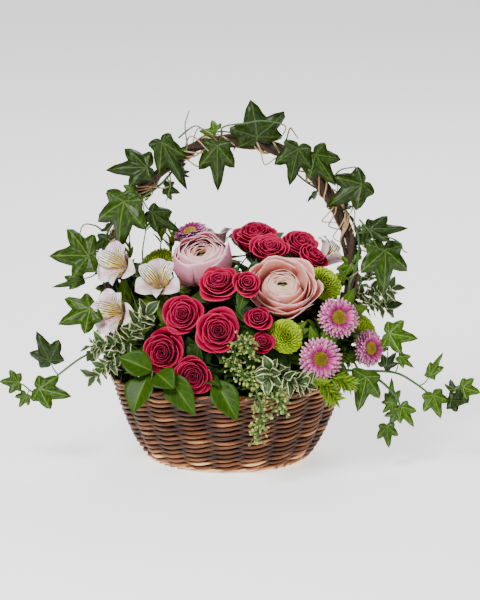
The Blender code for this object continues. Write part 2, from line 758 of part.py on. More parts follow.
# Seeded eucalyptus: its stem and the twigs that hang in clusters of seeds
SEEDED_STEM = ((2, -66, 116), (6, -92, 128), (4, -104, 112))
SEEDED_TWIGS = (
    ((6, -92, 128), (14, -106, 140), (22, -112, 128)),
    ((4, -104, 112), (22, -116, 104), (32, -121, 74), (26, -120, 52)),
    ((22, -116, 104), (42, -114, 96), (50, -116, 78)),
)
SEED_LONG = 8.0
SEED_HALF = 2.8
SEED_BELLY = 0.7  # where it is widest, as a share of its length
SEED_STEP = 11.0

# Variegated pittosporum: the stem and twigs of each sprig. Leaves stand along the twigs by rule
VARIEGATED = {
    "variegated_left": (
        ((-72, -42, 118), (-94, -58, 124), (-106, -66, 112), (-124, -72, 96)),
        ((-94, -58, 124), (-84, -70, 146), (-76, -74, 156)),
        ((-94, -58, 124), (-112, -66, 126), (-124, -68, 124)),
    ),
    "variegated_right": (
        ((84, 26, 120), (110, 28, 140), (134, 20, 154), (156, 12, 160)),
        ((110, 28, 140), (128, 34, 162), (142, 36, 174)),
        ((110, 28, 140), (134, 34, 140), (152, 30, 138)),
    ),
    "variegated_front": (
        ((32, -62, 112), (44, -96, 108), (56, -108, 102), (72, -110, 98)),
        ((44, -96, 108), (40, -108, 112), (38, -116, 106)),
    ),
}
TWIG_LEAF_LONG = 26.0
TWIG_LEAF_STEP = 13.0
TWIG_END = 2.0  # the last leaf grows this far short of the twig's end
TWIG_STALK = 2.5

BROADLEAF_STEM = ((-48, -64, 103), (-60, -92, 96), (-78, -97, 97))
BROADLEAF_LEAVES = (
    ((-74, -98, 104), (-88, -116, 72), 30, (-30, 20)),
    ((-70, -98, 108), (-102, -92, 120), 26, (-30, 40)),
    ((-66, -98, 106), (-50, -116, 96), 26, (-10, 40)),
    ((-58, -96, 106), (-30, -114, 70), 26, (-5, 20)),
)


def twig_leaves(line, out, rng):
    """Leaves in turn on either side of a twig and one at its tip, as build_sprig takes them."""
    rows = []
    long = length_of(line)
    steps = int(long / TWIG_LEAF_STEP)
    for k in range(1, steps + 1):
        spot, ahead = point_on(line, (long - TWIG_END) * k / steps)
        side = ahead.cross(out).normalized() * (1 if k % 2 else -1)
        reach = (ahead + side * (0 if k == steps else 0.9) + out * rng.uniform(-0.1, 0.5)).normalized()
        rows.append((spot, spot + reach * TWIG_LEAF_LONG * rng.uniform(0.85, 1.1)))
    return rows


def point_on(line, far):
    """The point that lies far along a line, and the line's direction there."""
    for a, b in zip(line, line[1:]):
        length = (b - a).length
        if far <= length + 0.001:
            return a.lerp(b, far / length), (b - a).normalized()
        far -= length
    return line[-1], (line[-1] - line[-2]).normalized()


def seed(spot, way):
    """A seed capsule: a drop with four sides, whose point is sunk in its twig."""
    bm = bmesh.new()
    deep = SEED_LONG * SEED_BELLY
    bmesh.ops.create_cone(bm, cap_ends=True, segments=4, radius1=0, radius2=SEED_HALF, depth=deep)
    bmesh.ops.translate(bm, verts=bm.verts, vec=(0, 0, deep / 2))
    bm.normal_update()
    bmesh.ops.poke(bm, faces=[f for f in bm.faces if abs(f.normal.z) > 0.9], offset=SEED_LONG - deep)
    turn = way.to_track_quat("Z", "Y").to_matrix().to_4x4()
    bmesh.ops.transform(bm, verts=bm.verts, matrix=Matrix.Translation(spot) @ turn)
    return bm


def build_seeded(trees, foam_tree):
    rng = random.Random(SEED + 2)
    twigs = [vectors(twig) for twig in SEEDED_TWIGS]
    lines = [rooted(SEEDED_STEM)] + twigs
    pieces = [tube(line, [TWIG_RADIUS] * len(line), TWIG_SIDES) for line in lines]
    solid = trees + [foam_tree]
    for line in twigs:
        for k in range(1, int(length_of(line) / SEED_STEP) + 1):
            spot, ahead = point_on(line, k * SEED_STEP)
            for turn in (0, 180):
                across = Quaternion(ahead, math.radians(turn + 75 * k)) @ ahead.orthogonal().normalized()
                made = seed(spot, (across + ahead * rng.uniform(0.2, 0.9)).normalized())
                if is_clear(made, solid):
                    pieces.append(made)
                else:
                    made.free()
    trees.append(world_tree(fuse("seeded_eucalyptus", pieces, "seed")))
    return lines[0][1], TWIG_RADIUS


def build_variegated(name, rows, trees, foam_tree, rng):
    lines = [rooted(rows[0])] + [vectors(row) for row in rows[1:]]
    pieces = [tube(line, [TWIG_RADIUS] * len(line), TWIG_SIDES) for line in lines]
    solid = trees + [foam_tree]
    for line in [lines[0][2:]] + lines[1:]:
        out = (line[-1] - FOCUS).normalized()
        out = (out + Vector((0, -0.6, 0.5))).normalized()
        for spot, tip in twig_leaves(line, out, rng):
            for attempt in range(NUDGES):
                swing = Vector([rng.uniform(-1, 1) for _ in range(3)]) * attempt * 0.3
                start = spot + (tip - spot).normalized() * TWIG_STALK
                made = leaf(start, tip + swing, out, TWIG_LEAF_LONG * 0.55, LEAF_EDGE, spot)
                if is_clear(made, solid):
                    pieces.append(made)
                    solid.append(BVHTree.FromBMesh(made))
                    break
                made.free()
    trees.append(world_tree(fuse(name, pieces, "variegated")))
    return lines[0][1], TWIG_RADIUS


def wound(line, first, last, start_turn, turns):
    """A line wound round the handle between two of its points, just clear of it."""
    frames = sweep_frames(line)
    points = []
    for i in range(first, last, 1 if last > first else -1):
        a = math.radians(start_turn + 360 * turns * (i - first) / (last - first))
        r = hoop_radius(line[i].z) + IVY_RADIUS + IVY_OFF
        points.append(line[i] + frames[i] @ Vector((r * math.cos(a), r * math.sin(a), 0)))
    return points


def build_sprig(name, lines, leaves, edge, finish, trees, foam_tree, rng):
    """Fuses a sprig's lines and those of its leaves that find room. Returns its hole in the foam."""
    pieces = [tube(line, [IVY_RADIUS] * len(line), TWIG_SIDES) for line in lines]
    spots = along_lines([lines[0][1:]] + lines[1:])
    solid = trees + [foam_tree]
    for root, tip, wide, (turn, lift) in leaves:
        made = try_leaf(spots, Vector(root), Vector(tip), facing(turn, lift), wide, edge, solid, rng)
        if made:
            pieces.append(made)
            solid.append(BVHTree.FromBMesh(made))
    trees.append(world_tree(fuse(name, pieces, finish)))
    return lines[0][1], IVY_RADIUS


def vectors(points):
    return [Vector(p) for p in points]


def rooted(points):
    """A sprig's line, with its cut end in the foam put before its points."""
    points = vectors(points)
    return [cut_end(points[0])] + points


def build_foliage(line, trees, foam_tree):
    """Every sprig, from those that hang to those between the flowers. Returns their holes in the foam."""
    rng = random.Random(SEED + 1)
    middle = len(line) // 2
    left = wound(line, 4, middle + 3, 150, 1.6)
    right = wound(line, len(line) - 5, middle + 4, 30, -1.2)
    sprigs = {
        "ivy_on_handle_left": ([rooted([(-74, -16, 112)] + left)], IVY_LEFT_HANDLE_LEAVES, "ivy"),
        "ivy_on_handle_right": ([rooted([(76, 10, 116)] + right)], IVY_RIGHT_HANDLE_LEAVES, "ivy"),
        "ivy_trail_left": ([rooted(IVY_LEFT_TRAIL)], IVY_LEFT_TRAIL_LEAVES, "ivy"),
        "ivy_trail_right": (
            [rooted(IVY_RIGHT_TRAIL), vectors(IVY_RIGHT_DROP)],
            IVY_RIGHT_TRAIL_LEAVES,
            "ivy",
        ),
        "broadleaf": ([rooted(BROADLEAF_STEM)], BROADLEAF_LEAVES, "broadleaf"),
    }
    bores = []
    for name, (lines, leaves, finish) in sprigs.items():
        edge = IVY_EDGE if finish == "ivy" else LEAF_EDGE
        bores.append(build_sprig(name, lines, leaves, edge, finish, trees, foam_tree, rng))
    bores.append(build_seeded(trees, foam_tree))
    for name, rows in VARIEGATED.items():
        bores.append(build_variegated(name, rows, trees, foam_tree, rng))
    return bores


def main():
    clear_scene()
    build_basket()
    line = hoop_points()
    build_handle(line)
    build_liner()
    seats = build_blooms()
    trees = [world_tree(o) for o in bpy.data.objects if o.type == "MESH"]
    foam = build_foam()
    foam_tree = world_tree(foam)
    bores = build_foliage(line, trees, foam_tree)
    bores += build_stems(seats, trees, foam_tree)
    pierce(foam, bores)


main()
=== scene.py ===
# %% [markdown]
# A basket of cut flowers
#
# The real object is a florist's basket: twisted willow, a tall hoop of vine, a plastic liner with wet
# foam, and about thirty blooms with ivy and mixed foliage pushed into the foam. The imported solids
# already say where each piece is and how large it is. This lesson dresses them one after another. Each
# step first says what the piece is like in the hand, and why it is modelled the way it is.

# %% Load the frame
import math
import random

import bmesh
import bpy
from mathutils import Matrix, Quaternion, Vector


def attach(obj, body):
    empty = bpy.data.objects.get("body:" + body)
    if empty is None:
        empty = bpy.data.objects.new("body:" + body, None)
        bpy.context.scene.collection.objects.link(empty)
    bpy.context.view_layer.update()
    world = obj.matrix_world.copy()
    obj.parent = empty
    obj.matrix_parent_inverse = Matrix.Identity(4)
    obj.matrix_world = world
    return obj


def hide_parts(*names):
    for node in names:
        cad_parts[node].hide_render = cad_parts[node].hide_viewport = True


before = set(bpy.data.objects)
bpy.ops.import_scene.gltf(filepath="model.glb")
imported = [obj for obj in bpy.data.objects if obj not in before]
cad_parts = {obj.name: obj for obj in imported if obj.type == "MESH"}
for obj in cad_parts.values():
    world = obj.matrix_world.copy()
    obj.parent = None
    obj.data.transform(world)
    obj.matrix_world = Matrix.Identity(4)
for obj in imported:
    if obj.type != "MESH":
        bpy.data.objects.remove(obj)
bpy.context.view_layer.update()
MM = 0.001  # shapes are modelled in millimetres and written in metres
print("the frame holds", len(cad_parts), "solids")

# %% [markdown]
# Tools for places
#
# A bloom is modelled with its base at the origin and its face up. It is then turned to the way it
# looks, which two angles give: how far round from the viewer's side, and how far up. Petals and leaves
# stand round a bloom or a twig like spokes, so one function gives the two level ways of a spoke.


# %% Directions, turns and smooth lines
UP = Vector((0, 0, 1))


def facing(turn, lift):
    """A direction: turn degrees from the viewer's side towards the right, lift degrees above level."""
    a, e = math.radians(turn), math.radians(lift)
    return Vector((math.sin(a) * math.cos(e), -math.cos(a) * math.cos(e), math.sin(e)))


def place_of(at, way, spin=0.0):
    """The matrix that carries a shape from the origin to a point, with its +Z along way."""
    turn = way.to_track_quat("Z", "Y") @ Quaternion((0, 0, 1), math.radians(spin))
    return Matrix.Translation(at) @ turn.to_matrix().to_4x4()


def between(low, high, share):
    return low + (high - low) * share


def within(value, high=1.0):
    return min(max(value, 0), high)


def past(start, v):
    """How far v is on its way from start to 1, as a share."""
    return max(v - start, 0) / (1 - start)


def spoke(a):
    """The level ways outwards and sideways at an angle round the Z axis."""
    return Vector((math.cos(a), math.sin(a), 0)), Vector((-math.sin(a), math.cos(a), 0))


def smooth_line(points, cuts=6):
    """A smooth line through some points, with cuts steps from each point to the next."""
    line = [Vector(p) for p in points]
    ends = [line[0] * 2 - line[1]] + line + [line[-1] * 2 - line[-2]]
    made = []
    for a, b, c, d in zip(ends, ends[1:], ends[2:], ends[3:]):
        for k in range(cuts):
            t = k / cuts
            bend = (a * 2 - b * 5 + c * 4 - d) * t**2 + (b * 3 - a - c * 3 + d) * t**3
            made.append((b * 2 + (c - a) * t + bend) / 2)
    return made + [line[-1]]


def turns_along(line):
    """A turn for each point of a line, none of which twists against the one before it."""
    ahead = [(b - a).normalized() for a, b in zip(line, line[1:])]
    tangents = [ahead[0]] + [a + b for a, b in zip(ahead, ahead[1:])] + [ahead[-1]]
    turns = [tangents[0].to_track_quat("Z", "Y")]
    for before, after in zip(tangents, tangents[1:]):
        turns.append(before.rotation_difference(after) @ turns[-1])
    return turns


def point_along(line, share):
    """The point at a share of a line's points, and the way the line runs there."""
    k = min(int(share * (len(line) - 1)), len(line) - 2)
    return line[k].lerp(line[k + 1], share * (len(line) - 1) - k), (line[k + 1] - line[k]).normalized()


print("facing 0, 0 is", tuple(facing(0, 0)))

# %% [markdown]
# Tools for shapes
#
# Petals and leaves are thin sheets. A flat grid of faces is the simplest start: each of its points is
# moved to where the petal's own rule puts it, so one rule bends a whole family of petals. The grid
# brings its UV map along, and the finishes read it to know where on the petal they are. A number called
# tint is stored on each sheet, so that no two petals have quite the same shade. In the roses and the
# basket it also carries painted light and shade. Stems, rods and vines are curves with a round bevel,
# because a curve keeps its thickness through every bend.


# %% Sheets, rods and finished pieces
SEAM = 0.001  # points that are closer than this are merged


def new_shape():
    bm = bmesh.new()
    bm.loops.layers.uv.new("UVMap")
    bm.verts.layers.float.new("tint")
    return bm


def mark(bm, verts, tint, finish):
    """Gives some points their tint, and the faces round them a finish from the piece's list."""
    layer = bm.verts.layers.float["tint"]
    for vert in verts:
        vert[layer] = tint
        for face in vert.link_faces:
            face.material_index = finish


def add_sheet(bm, across, along, shape, tint=0.5, finish=0):
    """A grid that shape(u, v) bends: u goes from -1 to 1 across it, and v from 0 to 1 along it."""
    sheet = bmesh.ops.create_grid(bm, x_segments=across, y_segments=along, size=1, calc_uvs=True)
    mark(bm, sheet["verts"], tint, finish)
    for vert in sheet["verts"]:
        vert.co = shape(vert.co.x, (vert.co.y + 1) / 2)
    return sheet["verts"]


def thicken(bm, thick):
    """Gives every open sheet a thickness, which closes it."""
    bm.normal_update()
    bmesh.ops.solidify(bm, geom=bm.verts[:] + bm.edges[:] + bm.faces[:], thickness=thick)


def rod(line, start, end=None):
    """A line of points with its radii, which go evenly from start to end or are all the same."""
    end = start if end is None else end
    return line, [between(start, end, k / (len(line) - 1)) for k in range(len(line))]


def add_rods(bm, rods, tint=0.5, finish=0, roundness=1):
    """Round rods, each one a line of points and their radii, from a curve with a bevel."""
    curve = bpy.data.curves.new("rods", "CURVE")
    curve.dimensions = "3D"
    curve.bevel_depth = 1.0
    curve.bevel_resolution = roundness
    curve.use_fill_caps = True
    for line, radii in rods:
        spline = curve.splines.new("POLY")
        spline.points.add(len(line) - 1)
        for knot, point, radius in zip(spline.points, line, radii):
            knot.co = (*point, 1)
            knot.radius = radius
    holder = bpy.data.objects.new("rods", curve)
    bpy.context.scene.collection.objects.link(holder)
    graph = bpy.context.evaluated_depsgraph_get()
    mesh = bpy.data.meshes.new_from_object(holder.evaluated_get(graph))
    first = len(bm.verts)
    bm.from_mesh(mesh)
    bm.verts.ensure_lookup_table()
    made = bm.verts[first:]
    mark(bm, made, tint, finish)
    bmesh.ops.remove_doubles(bm, verts=made, dist=SEAM)
    bpy.data.objects.remove(holder)
    bpy.data.curves.remove(curve)
    bpy.data.meshes.remove(mesh)


def finished(name, bm, finishes, replaced=()):
    """Writes a shape as a piece of the object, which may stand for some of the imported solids."""
    bmesh.ops.recalc_face_normals(bm, faces=bm.faces)
    bmesh.ops.scale(bm, verts=bm.verts, vec=(MM, MM, MM))
    mesh = bpy.data.meshes.new(name)
    bm.to_mesh(mesh)
    bm.free()
    mesh.shade_smooth()
    for finish in finishes:
        mesh.materials.append(finish)
    piece = bpy.data.objects.new(name, mesh)
    bpy.context.scene.collection.objects.link(piece)
    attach(piece, "root")
    if replaced:
        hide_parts(*replaced)
    return piece


def faces_of(pieces):
    return sum(len(piece.data.polygons) for piece in pieces)


print("the tools are ready")

# %% [markdown]
# Tools for finishes
#
# A finish is a small tree of nodes. Most of these read the same few things, such as how far along the
# petal a point is, so each of them is a function that returns a socket, and a finish is then put
# together like a sentence. What is the same all over a piece is set on the shader itself.


# %% Nodes as functions
def new_finish(name, rough, **constants):
    finish = bpy.data.materials.new(name)
    finish.use_nodes = True
    shader = finish.node_tree.nodes["Principled BSDF"]
    shader.inputs["Roughness"].default_value = rough
    for socket, value in constants.items():
        shader.inputs[socket.replace("_", " ")].default_value = value
    return finish


def soft_finish(name, rough, glow, deep, shine):
    """A finish that lets a little light in, deep millimetres, as petals and leaves do."""
    constants = {"Subsurface_Weight": glow, "Subsurface_Scale": deep * MM, "Specular_IOR_Level": shine}
    return new_finish(name, rough, **constants)


def node(finish, kind, inputs, **settings):
    """Adds a node. Its inputs are numbers, colours or the sockets of other nodes."""
    made = finish.node_tree.nodes.new("ShaderNode" + kind)
    for key, value in settings.items():
        setattr(made, key, value)
    for key, value in inputs.items():
        if isinstance(value, bpy.types.NodeSocket):
            finish.node_tree.links.new(value, made.inputs[key])
        else:
            made.inputs[key].default_value = value
    return made


def sums(finish, operation, a, b=0.0, c=0.0):
    return node(finish, "Math", {0: a, 1: b, 2: c}, operation=operation).outputs[0]


def times(finish, a, b):
    return sums(finish, "MULTIPLY", a, b)


def rescaled(finish, value, low, high, to_low=0.0, to_high=1.0):
    """A value that goes smoothly from to_low to to_high as the given one goes from low to high."""
    inputs = {"Value": value, "From Min": low, "From Max": high, "To Min": to_low, "To Max": to_high}
    return node(finish, "MapRange", inputs, interpolation_type="SMOOTHSTEP").outputs["Result"]


def ramp(finish, value, *stops):
    """A colour that is read from stops of (place, colour)."""
    made = node(finish, "ValToRGB", {"Fac": value})
    band = made.color_ramp
    for stop, (place, colour) in zip(band.elements, (stops[0], stops[-1])):
        stop.position = place
        stop.color = (*colour, 1)
    for place, colour in stops[1:-1]:
        band.elements.new(place).color = (*colour, 1)
    return made.outputs["Color"]


def mixed(finish, share, a, b):
    a, b = ((*c, 1) if isinstance(c, tuple) else c for c in (a, b))
    return node(finish, "Mix", {0: share, 6: a, 7: b}, data_type="RGBA").outputs[2]


def mixed_in(finish, colour, second, value, start, end, most=1.0):
    """Mixes up to most of a second colour in, as a value goes from start to end."""
    return mixed(finish, rescaled(finish, value, start, end, 0.0, most), colour, second)


def uv_place(finish):
    return node(finish, "UVMap", {}, uv_map="UVMap").outputs["UV"]


def sheet_place(finish):
    """How far from a sheet's middle line a point is, from 0 to 1, how far along, and both as a vector."""
    uv = uv_place(finish)
    split = node(finish, "SeparateXYZ", {"Vector": uv})
    off = sums(finish, "ABSOLUTE", sums(finish, "MULTIPLY_ADD", split.outputs["X"], 2.0, -1.0))
    return off, split.outputs["Y"], uv


def object_place(finish):
    return node(finish, "TexCoord", {}).outputs["Object"]


def speckle(finish, place, scale, stretch=(1, 1, 1), detail=3.0, rough=0.5):
    """Noise from 0 to 1, drawn out along the axes where stretch is small."""
    place = node(finish, "Mapping", {"Vector": place, "Scale": stretch}).outputs["Vector"]
    inputs = {"Vector": place, "Scale": scale, "Detail": detail, "Roughness": rough}
    return node(finish, "TexNoise", inputs).outputs["Fac"]


def tint_of(finish):
    return node(finish, "Attribute", {}, attribute_name="tint").outputs["Fac"]


def shaded(finish, colour, low=0.75, high=1.2):
    """The colour made darker or lighter by the sheet's own tint."""
    value = rescaled(finish, tint_of(finish), 0, 1, low, high)
    return node(finish, "HueSaturation", {"Color": colour, "Value": value}).outputs["Color"]


def paint(finish, colour, height=None, strength=0.3, depth=0.3):
    """Links the colour to the shader, and a height to its bumps, which are depth millimetres deep."""
    shader = finish.node_tree.nodes["Principled BSDF"]
    finish.node_tree.links.new(colour, shader.inputs["Base Color"])
    if height:
        inputs = {"Height": height, "Strength": strength, "Distance": depth * MM}
        bump = node(finish, "Bump", inputs).outputs["Normal"]
        finish.node_tree.links.new(bump, shader.inputs["Normal"])
    return finish


def grained(finish, scale, stops, strength, depth=0.3, shades=None, **grain):
    """Paints a finish with grains that go through the stops' colours and stand up a little."""
    grains = speckle(finish, object_place(finish), scale, **grain)
    colour = ramp(finish, grains, *stops)
    if shades:
        colour = shaded(finish, colour, *shades)
    return paint(finish, colour, grains, strength, depth)


print("the finishes have their tools")

# %% [markdown]
# Floor, light and camera
#
# The photograph is a studio one: white sweep, a large soft light from the front left, a weaker one from
# the right, and a faint shadow under the basket. The camera looks down by 14 degrees from far away, so
# the basket has almost no perspective. One pixel of the photograph is 0.95 mm at the basket's middle.

# %% Camera, lights and floor
PIXEL = 0.95  # mm
PHOTO_HIGH = 600  # pixels
LOOK_DOWN = 14.0
AIM = Vector((11.4, 0, 151.8))
DISTANCE = 4000.0
FAR = 100  # m, the camera sees no further
WORLD_LIGHT = 0.12
FLOOR_HALF = 6  # m
FLOOR_GLOW = 1.25

camera = bpy.data.objects.new("camera", bpy.data.cameras.new("camera"))
camera.data.lens = camera.data.sensor_width * DISTANCE / (PHOTO_HIGH * PIXEL)
camera.data.clip_end = FAR
camera.location = (AIM + facing(0, LOOK_DOWN) * DISTANCE) * MM
camera.rotation_euler = facing(0, LOOK_DOWN).to_track_quat("Z", "Y").to_euler()
bpy.context.scene.collection.objects.link(camera)
bpy.context.scene.camera = camera

# Each light's place, its size and its power
LIGHTS = {
    "key": ((-700, -1200, 1500), 650, 56),
    "fill": ((1300, -900, 700), 1100, 4),
    "back": ((300, 1200, 1400), 900, 20),
}
for name, (at, size, power) in LIGHTS.items():
    lamp = bpy.data.lights.new(name, "AREA")
    lamp.size = size * MM
    lamp.energy = power
    light = bpy.data.objects.new(name, lamp)
    light.location = Vector(at) * MM
    light.rotation_euler = (Vector(at) - AIM).to_track_quat("Z", "Y").to_euler()
    bpy.context.scene.collection.objects.link(light)

world = bpy.data.worlds.new("studio")
world.use_nodes = True
world.node_tree.nodes["Background"].inputs["Color"].default_value = (1, 1, 1, 1)
world.node_tree.nodes["Background"].inputs["Strength"].default_value = WORLD_LIGHT
bpy.context.scene.world = world

bm = bmesh.new()
bmesh.ops.create_grid(bm, x_segments=1, y_segments=1, size=FLOOR_HALF)
floor_mesh = bpy.data.meshes.new("floor")
bm.to_mesh(floor_mesh)
bm.free()
floor = bpy.data.objects.new("floor", floor_mesh)
pale = (0.92, 0.92, 0.92, 1)
pale_floor = new_finish(
    "pale_floor", 0.9, Base_Color=pale, Emission_Color=pale, Emission_Strength=FLOOR_GLOW
)
floor_mesh.materials.append(pale_floor)
bpy.context.scene.collection.objects.link(floor)
print("the camera's lens is", round(camera.data.lens), "mm")

# %% [markdown]
# The willow basket
#
# Upright stakes stand round an oval, and pairs of rods are woven between them, one pair above another.
# While one rod of a pair passes in front of a stake, the other passes behind it, and they cross before
# the next, so the eye reads a row as strokes that end between the stakes. So each rod is a line that
# winds round the row's own centre line like a strand round a rope, half a turn from its partner, and
# sags where it passes in front of a stake. The wall bulges a little at each stake.

# %% The wall's curve, as the solid basket has it
BASKET_HIGH = 82.0
RIM_HALF = 112.0
BASE_HALF = 68.0
OVAL = 0.91
WALL = 7.0
STAKES = 20
BULGE = 0.5  # how far the wall stands out at a stake
ROD_STEPS = 180
RECESS, RECESS_END = -4.4, -0.1  # between these depths in the wall the rods' tint goes from none to full, painted shade darkest deepest in the wall


def wall_half(z):
    return BASE_HALF + (RIM_HALF - BASE_HALF) * math.sqrt(max(z, 0.0) / BASKET_HIGH)


def on_wall(angle, z, out):
    """The point of the wall at an angle round the basket, moved outwards from its outer face."""
    half = wall_half(z)
    return Vector(((half + out) * math.cos(angle), (half * OVAL + out) * math.sin(angle), z))


def weaver(phase, rise, out, swing, turns):
    """One of the rods that wind round each other, once round the basket at a height."""
    high, deep, sag = swing
    line = []
    for k in range(ROD_STEPS + 1):
        angle = math.tau * k / ROD_STEPS
        a = math.tau * (turns * k / ROD_STEPS + phase)
        level = rise + high * math.sin(a) - sag * math.cos(a)
        bulge = BULGE * math.cos(STAKES * angle)
        line.append(on_wall(angle, level, out + bulge + deep * math.cos(a)))
    return line


def paint_recess_shade(bm):
    """Darkens the rods' tint the deeper in the wall they are: painted shade in the recesses."""
    layer = bm.verts.layers.float["tint"]
    for vert in bm.verts:
        out = math.hypot(vert.co.x, vert.co.y / OVAL) - wall_half(vert.co.z)
        vert[layer] *= within((out - RECESS) / (RECESS_END - RECESS))


print("the wall leans out by", round(wall_half(BASKET_HIGH) - wall_half(0)), "mm")

# %% [markdown]
# Willow's bark
#
# Stained willow is brown in patches, with fine dark lines along each rod, and a rod that lost its bark
# is tan. The patches are noise on the object's own coordinates, the lines are noise on the UV map, which
# follows the rod, and the tint tells which rods are tan.

# %% Willow's finish
willow = new_finish("willow", 0.5, Specular_IOR_Level=0.35)
grain = speckle(willow, uv_place(willow), 6, (6, 60, 1), 4)
patches = speckle(willow, object_place(willow), 26, (1, 1, 5.0))
bark = ramp(
    willow, patches, (0.28, (0.050, 0.013, 0.004)), (0.5, (0.20, 0.060, 0.017)), (0.74, (0.50, 0.20, 0.065))
)
bark = mixed_in(willow, bark, (0.035, 0.010, 0.005), grain, 0.35, 0.75, 0.5)
tan = mixed(willow, grain, (0.66, 0.42, 0.19), (0.34, 0.16, 0.06))
bark = mixed_in(willow, bark, tan, tint_of(willow), 0.55, 0.95)
paint(willow, shaded(willow, bark, 0.06, 2.0), grain, 0.5, 0.5)
print("willow is ready")

# %% [markdown]
# The rows and the stakes
#
# Fifteen rows fill the wall. A fixed seed gives each row a small drift and each rod its own shade, as the
# bark of willow has, and one rod low down is left pale. The stakes stand in the middle of the wall, so
# that they only show where two rods part. Their dark tint is painted shade deep in the wall.

# %% Weave the wall
ROWS = 15
ROW_HIGH = 4.875  # from one row to the next
ROD = 1.88  # radius
ROD_UNEVEN = 0.05
ROD_TURNS = STAKES / 2  # turns of a rod round its row, once round the basket
ROW_OUT = -3.5  # from the wall's outer face to a row's centre line
ROD_SWING = (1.5, 2.2, 1.3)  # how far a rod swings up and down, in and out, and sags before a stake
PALE_ROD = (1, 0)  # its row and its place in the pair
STAKE = 1.9  # radius
STAKE_IN = 2.2  # from the wall's inner face to a stake's middle
STAKE_LEVELS = (2, 16, 32, 48, 64, 80)

rng = random.Random(21)
bm = new_shape()
for row in range(ROWS):
    drift = rng.uniform(-0.03, 0.03)
    for strand in range(2):
        line = weaver(strand / 2 + drift, ROW_HIGH * (row + 1.5), ROW_OUT, ROD_SWING, ROD_TURNS)
        waves = [math.sin(k * 0.17 + row * 2.1 + strand * 3) for k in range(len(line))]
        shade = 0.9 if (row, strand) == PALE_ROD else rng.uniform(0.30, 0.70)
        add_rods(bm, [(line, [ROD * (1 + ROD_UNEVEN * wave) for wave in waves])], shade, roundness=2)
# The stakes' low tint is painted shade, as they stand deep in the wall between the rods
for k in range(STAKES):
    line = [on_wall(math.tau * k / STAKES, z, STAKE_IN - WALL) for z in STAKE_LEVELS]
    add_rods(bm, [rod(line, STAKE)], 0.2, roundness=2)
print("the wall has", len(bm.verts), "points")

# %% [markdown]
# The foot and the border
#
# The foot is a rope of three lighter rods that the basket stands on, and the border at the rim is a
# thicker one. Both are wound like a row of the wall, with more turns and without the sag. Straight rods
# side by side close the bottom.


# %% Foot and border
def add_rope(bm, phase, level, out, swing, turns, radius, shades):
    """A rope of rods round the basket, one for each shade."""
    for strand, shade in enumerate(shades):
        line = weaver(phase + strand / len(shades), level, out, (*swing, 0), turns)
        add_rods(bm, [rod(line, radius)], shade, roundness=2)


# Each rope's phase, height, distance from the wall's face, swing, turns, radius and shades
add_rope(bm, 0.0, 3.4, -2.0, (1.4, 1.5), 16, 1.6, (0.74, 0.86, 0.98))
add_rope(bm, 0.08, BASKET_HIGH - 1.2, -1.6, (1.75, 1.9), 15, 2.0, (0.25, 0.45, 0.65))

BOTTOM_HALF = wall_half(6)
BOTTOM_STEP = 6.2  # from one rod of the bottom to the next
BOTTOM_ROD = 2.2  # radius
BOTTOM_SIDE = 9  # rods on each side of the middle one
bottom = []
for k in range(-BOTTOM_SIDE, BOTTOM_SIDE + 1):
    y = k * BOTTOM_STEP
    half = BOTTOM_HALF * math.sqrt(max(1 - (y / (BOTTOM_HALF * OVAL)) ** 2, 0)) - 4
    bottom.append(rod([Vector((x, y, z)) for x, z in ((-half, 3.4), (0, 3.0), (half, 3.4))], BOTTOM_ROD))
add_rods(bm, bottom, 0.5)
# Painted shade: the rods darken the deeper they lie in the wall
paint_recess_shade(bm)
basket = finished("woven_basket", bm, [willow], ["basket"])
print("the basket has", faces_of([basket]), "faces")

# %% [markdown]
# The hoop of vine
#
# The handle is a bundle of dry vines, each thinner than a pencil, wound loosely round a thicker one.
# Thin tendrils stray from it in curls. The bundle follows the solid handle's centre line, whose rule is
# repeated here: two legs that rise out of the rim and an oval arch between them.

# %% The hoop's centre line
HOOP_HALF = 115.0
HOOP_HIGH = 136.0
HOOP_LEVEL = 170.0
HOOP_LEAN = 7.0
HOOP_LEG = ((83, 40), (91, 61), (98.6, 85), (106.6, 110), (111, 140))
HOOP_STEPS = 24


def hoop_line():
    half = list(HOOP_LEG)
    for k in range(HOOP_STEPS + 1):
        a = math.pi / 2 * k / HOOP_STEPS
        half.append((HOOP_HALF * math.cos(a), HOOP_LEVEL + HOOP_HIGH * math.sin(a)))
    lean = HOOP_LEAN / (HOOP_LEVEL + HOOP_HIGH - BASKET_HIGH)
    left, right = (
        [Vector((side * x + lean * max(z - BASKET_HIGH, 0), 0, z)) for x, z in half] for side in (-1, 1)
    )
    return smooth_line(left + right[-2::-1], 3)


hoop = hoop_line()
hoop_turns = turns_along(hoop)


def round_hoop(k, out, degrees):
    """A point beside the hoop's centre line."""
    a = math.radians(degrees)
    return hoop[k] + hoop_turns[k] @ Vector((out * math.cos(a), out * math.sin(a), 0))


print("the hoop is", round(sum((b - a).length for a, b in zip(hoop, hoop[1:]))), "mm long")

# %% [markdown]
# The vines
#
# Seven vines of uneven thickness wind round a thick one in the middle. Below the rim the bundle is
# slimmer, because its feet are pushed down between the wall and the liner. Three thin, pale vines are
# wound over it, and tendrils curl out and back. Each of them is a line that keeps some distance and
# angle from the centre line.

# %% Vine's finish and the bundle
vine = new_finish("vine", 0.72)
fibres = speckle(vine, uv_place(vine), 7, (5, 26, 1), 5, 0.6)
patches = speckle(vine, object_place(vine), 60)
bark = ramp(
    vine, fibres, (0.3, (0.010, 0.004, 0.002)), (0.5, (0.065, 0.026, 0.011)), (0.74, (0.24, 0.12, 0.055))
)
bark = mixed_in(vine, bark, (0.085, 0.060, 0.030), patches, 0.5, 0.8, 0.4)
bark = mixed_in(vine, bark, (0.42, 0.27, 0.13), tint_of(vine), 1.0, 1.8, 0.85)
paint(vine, shaded(vine, bark, 0.5, 1.6), fibres, 0.8, 0.8)

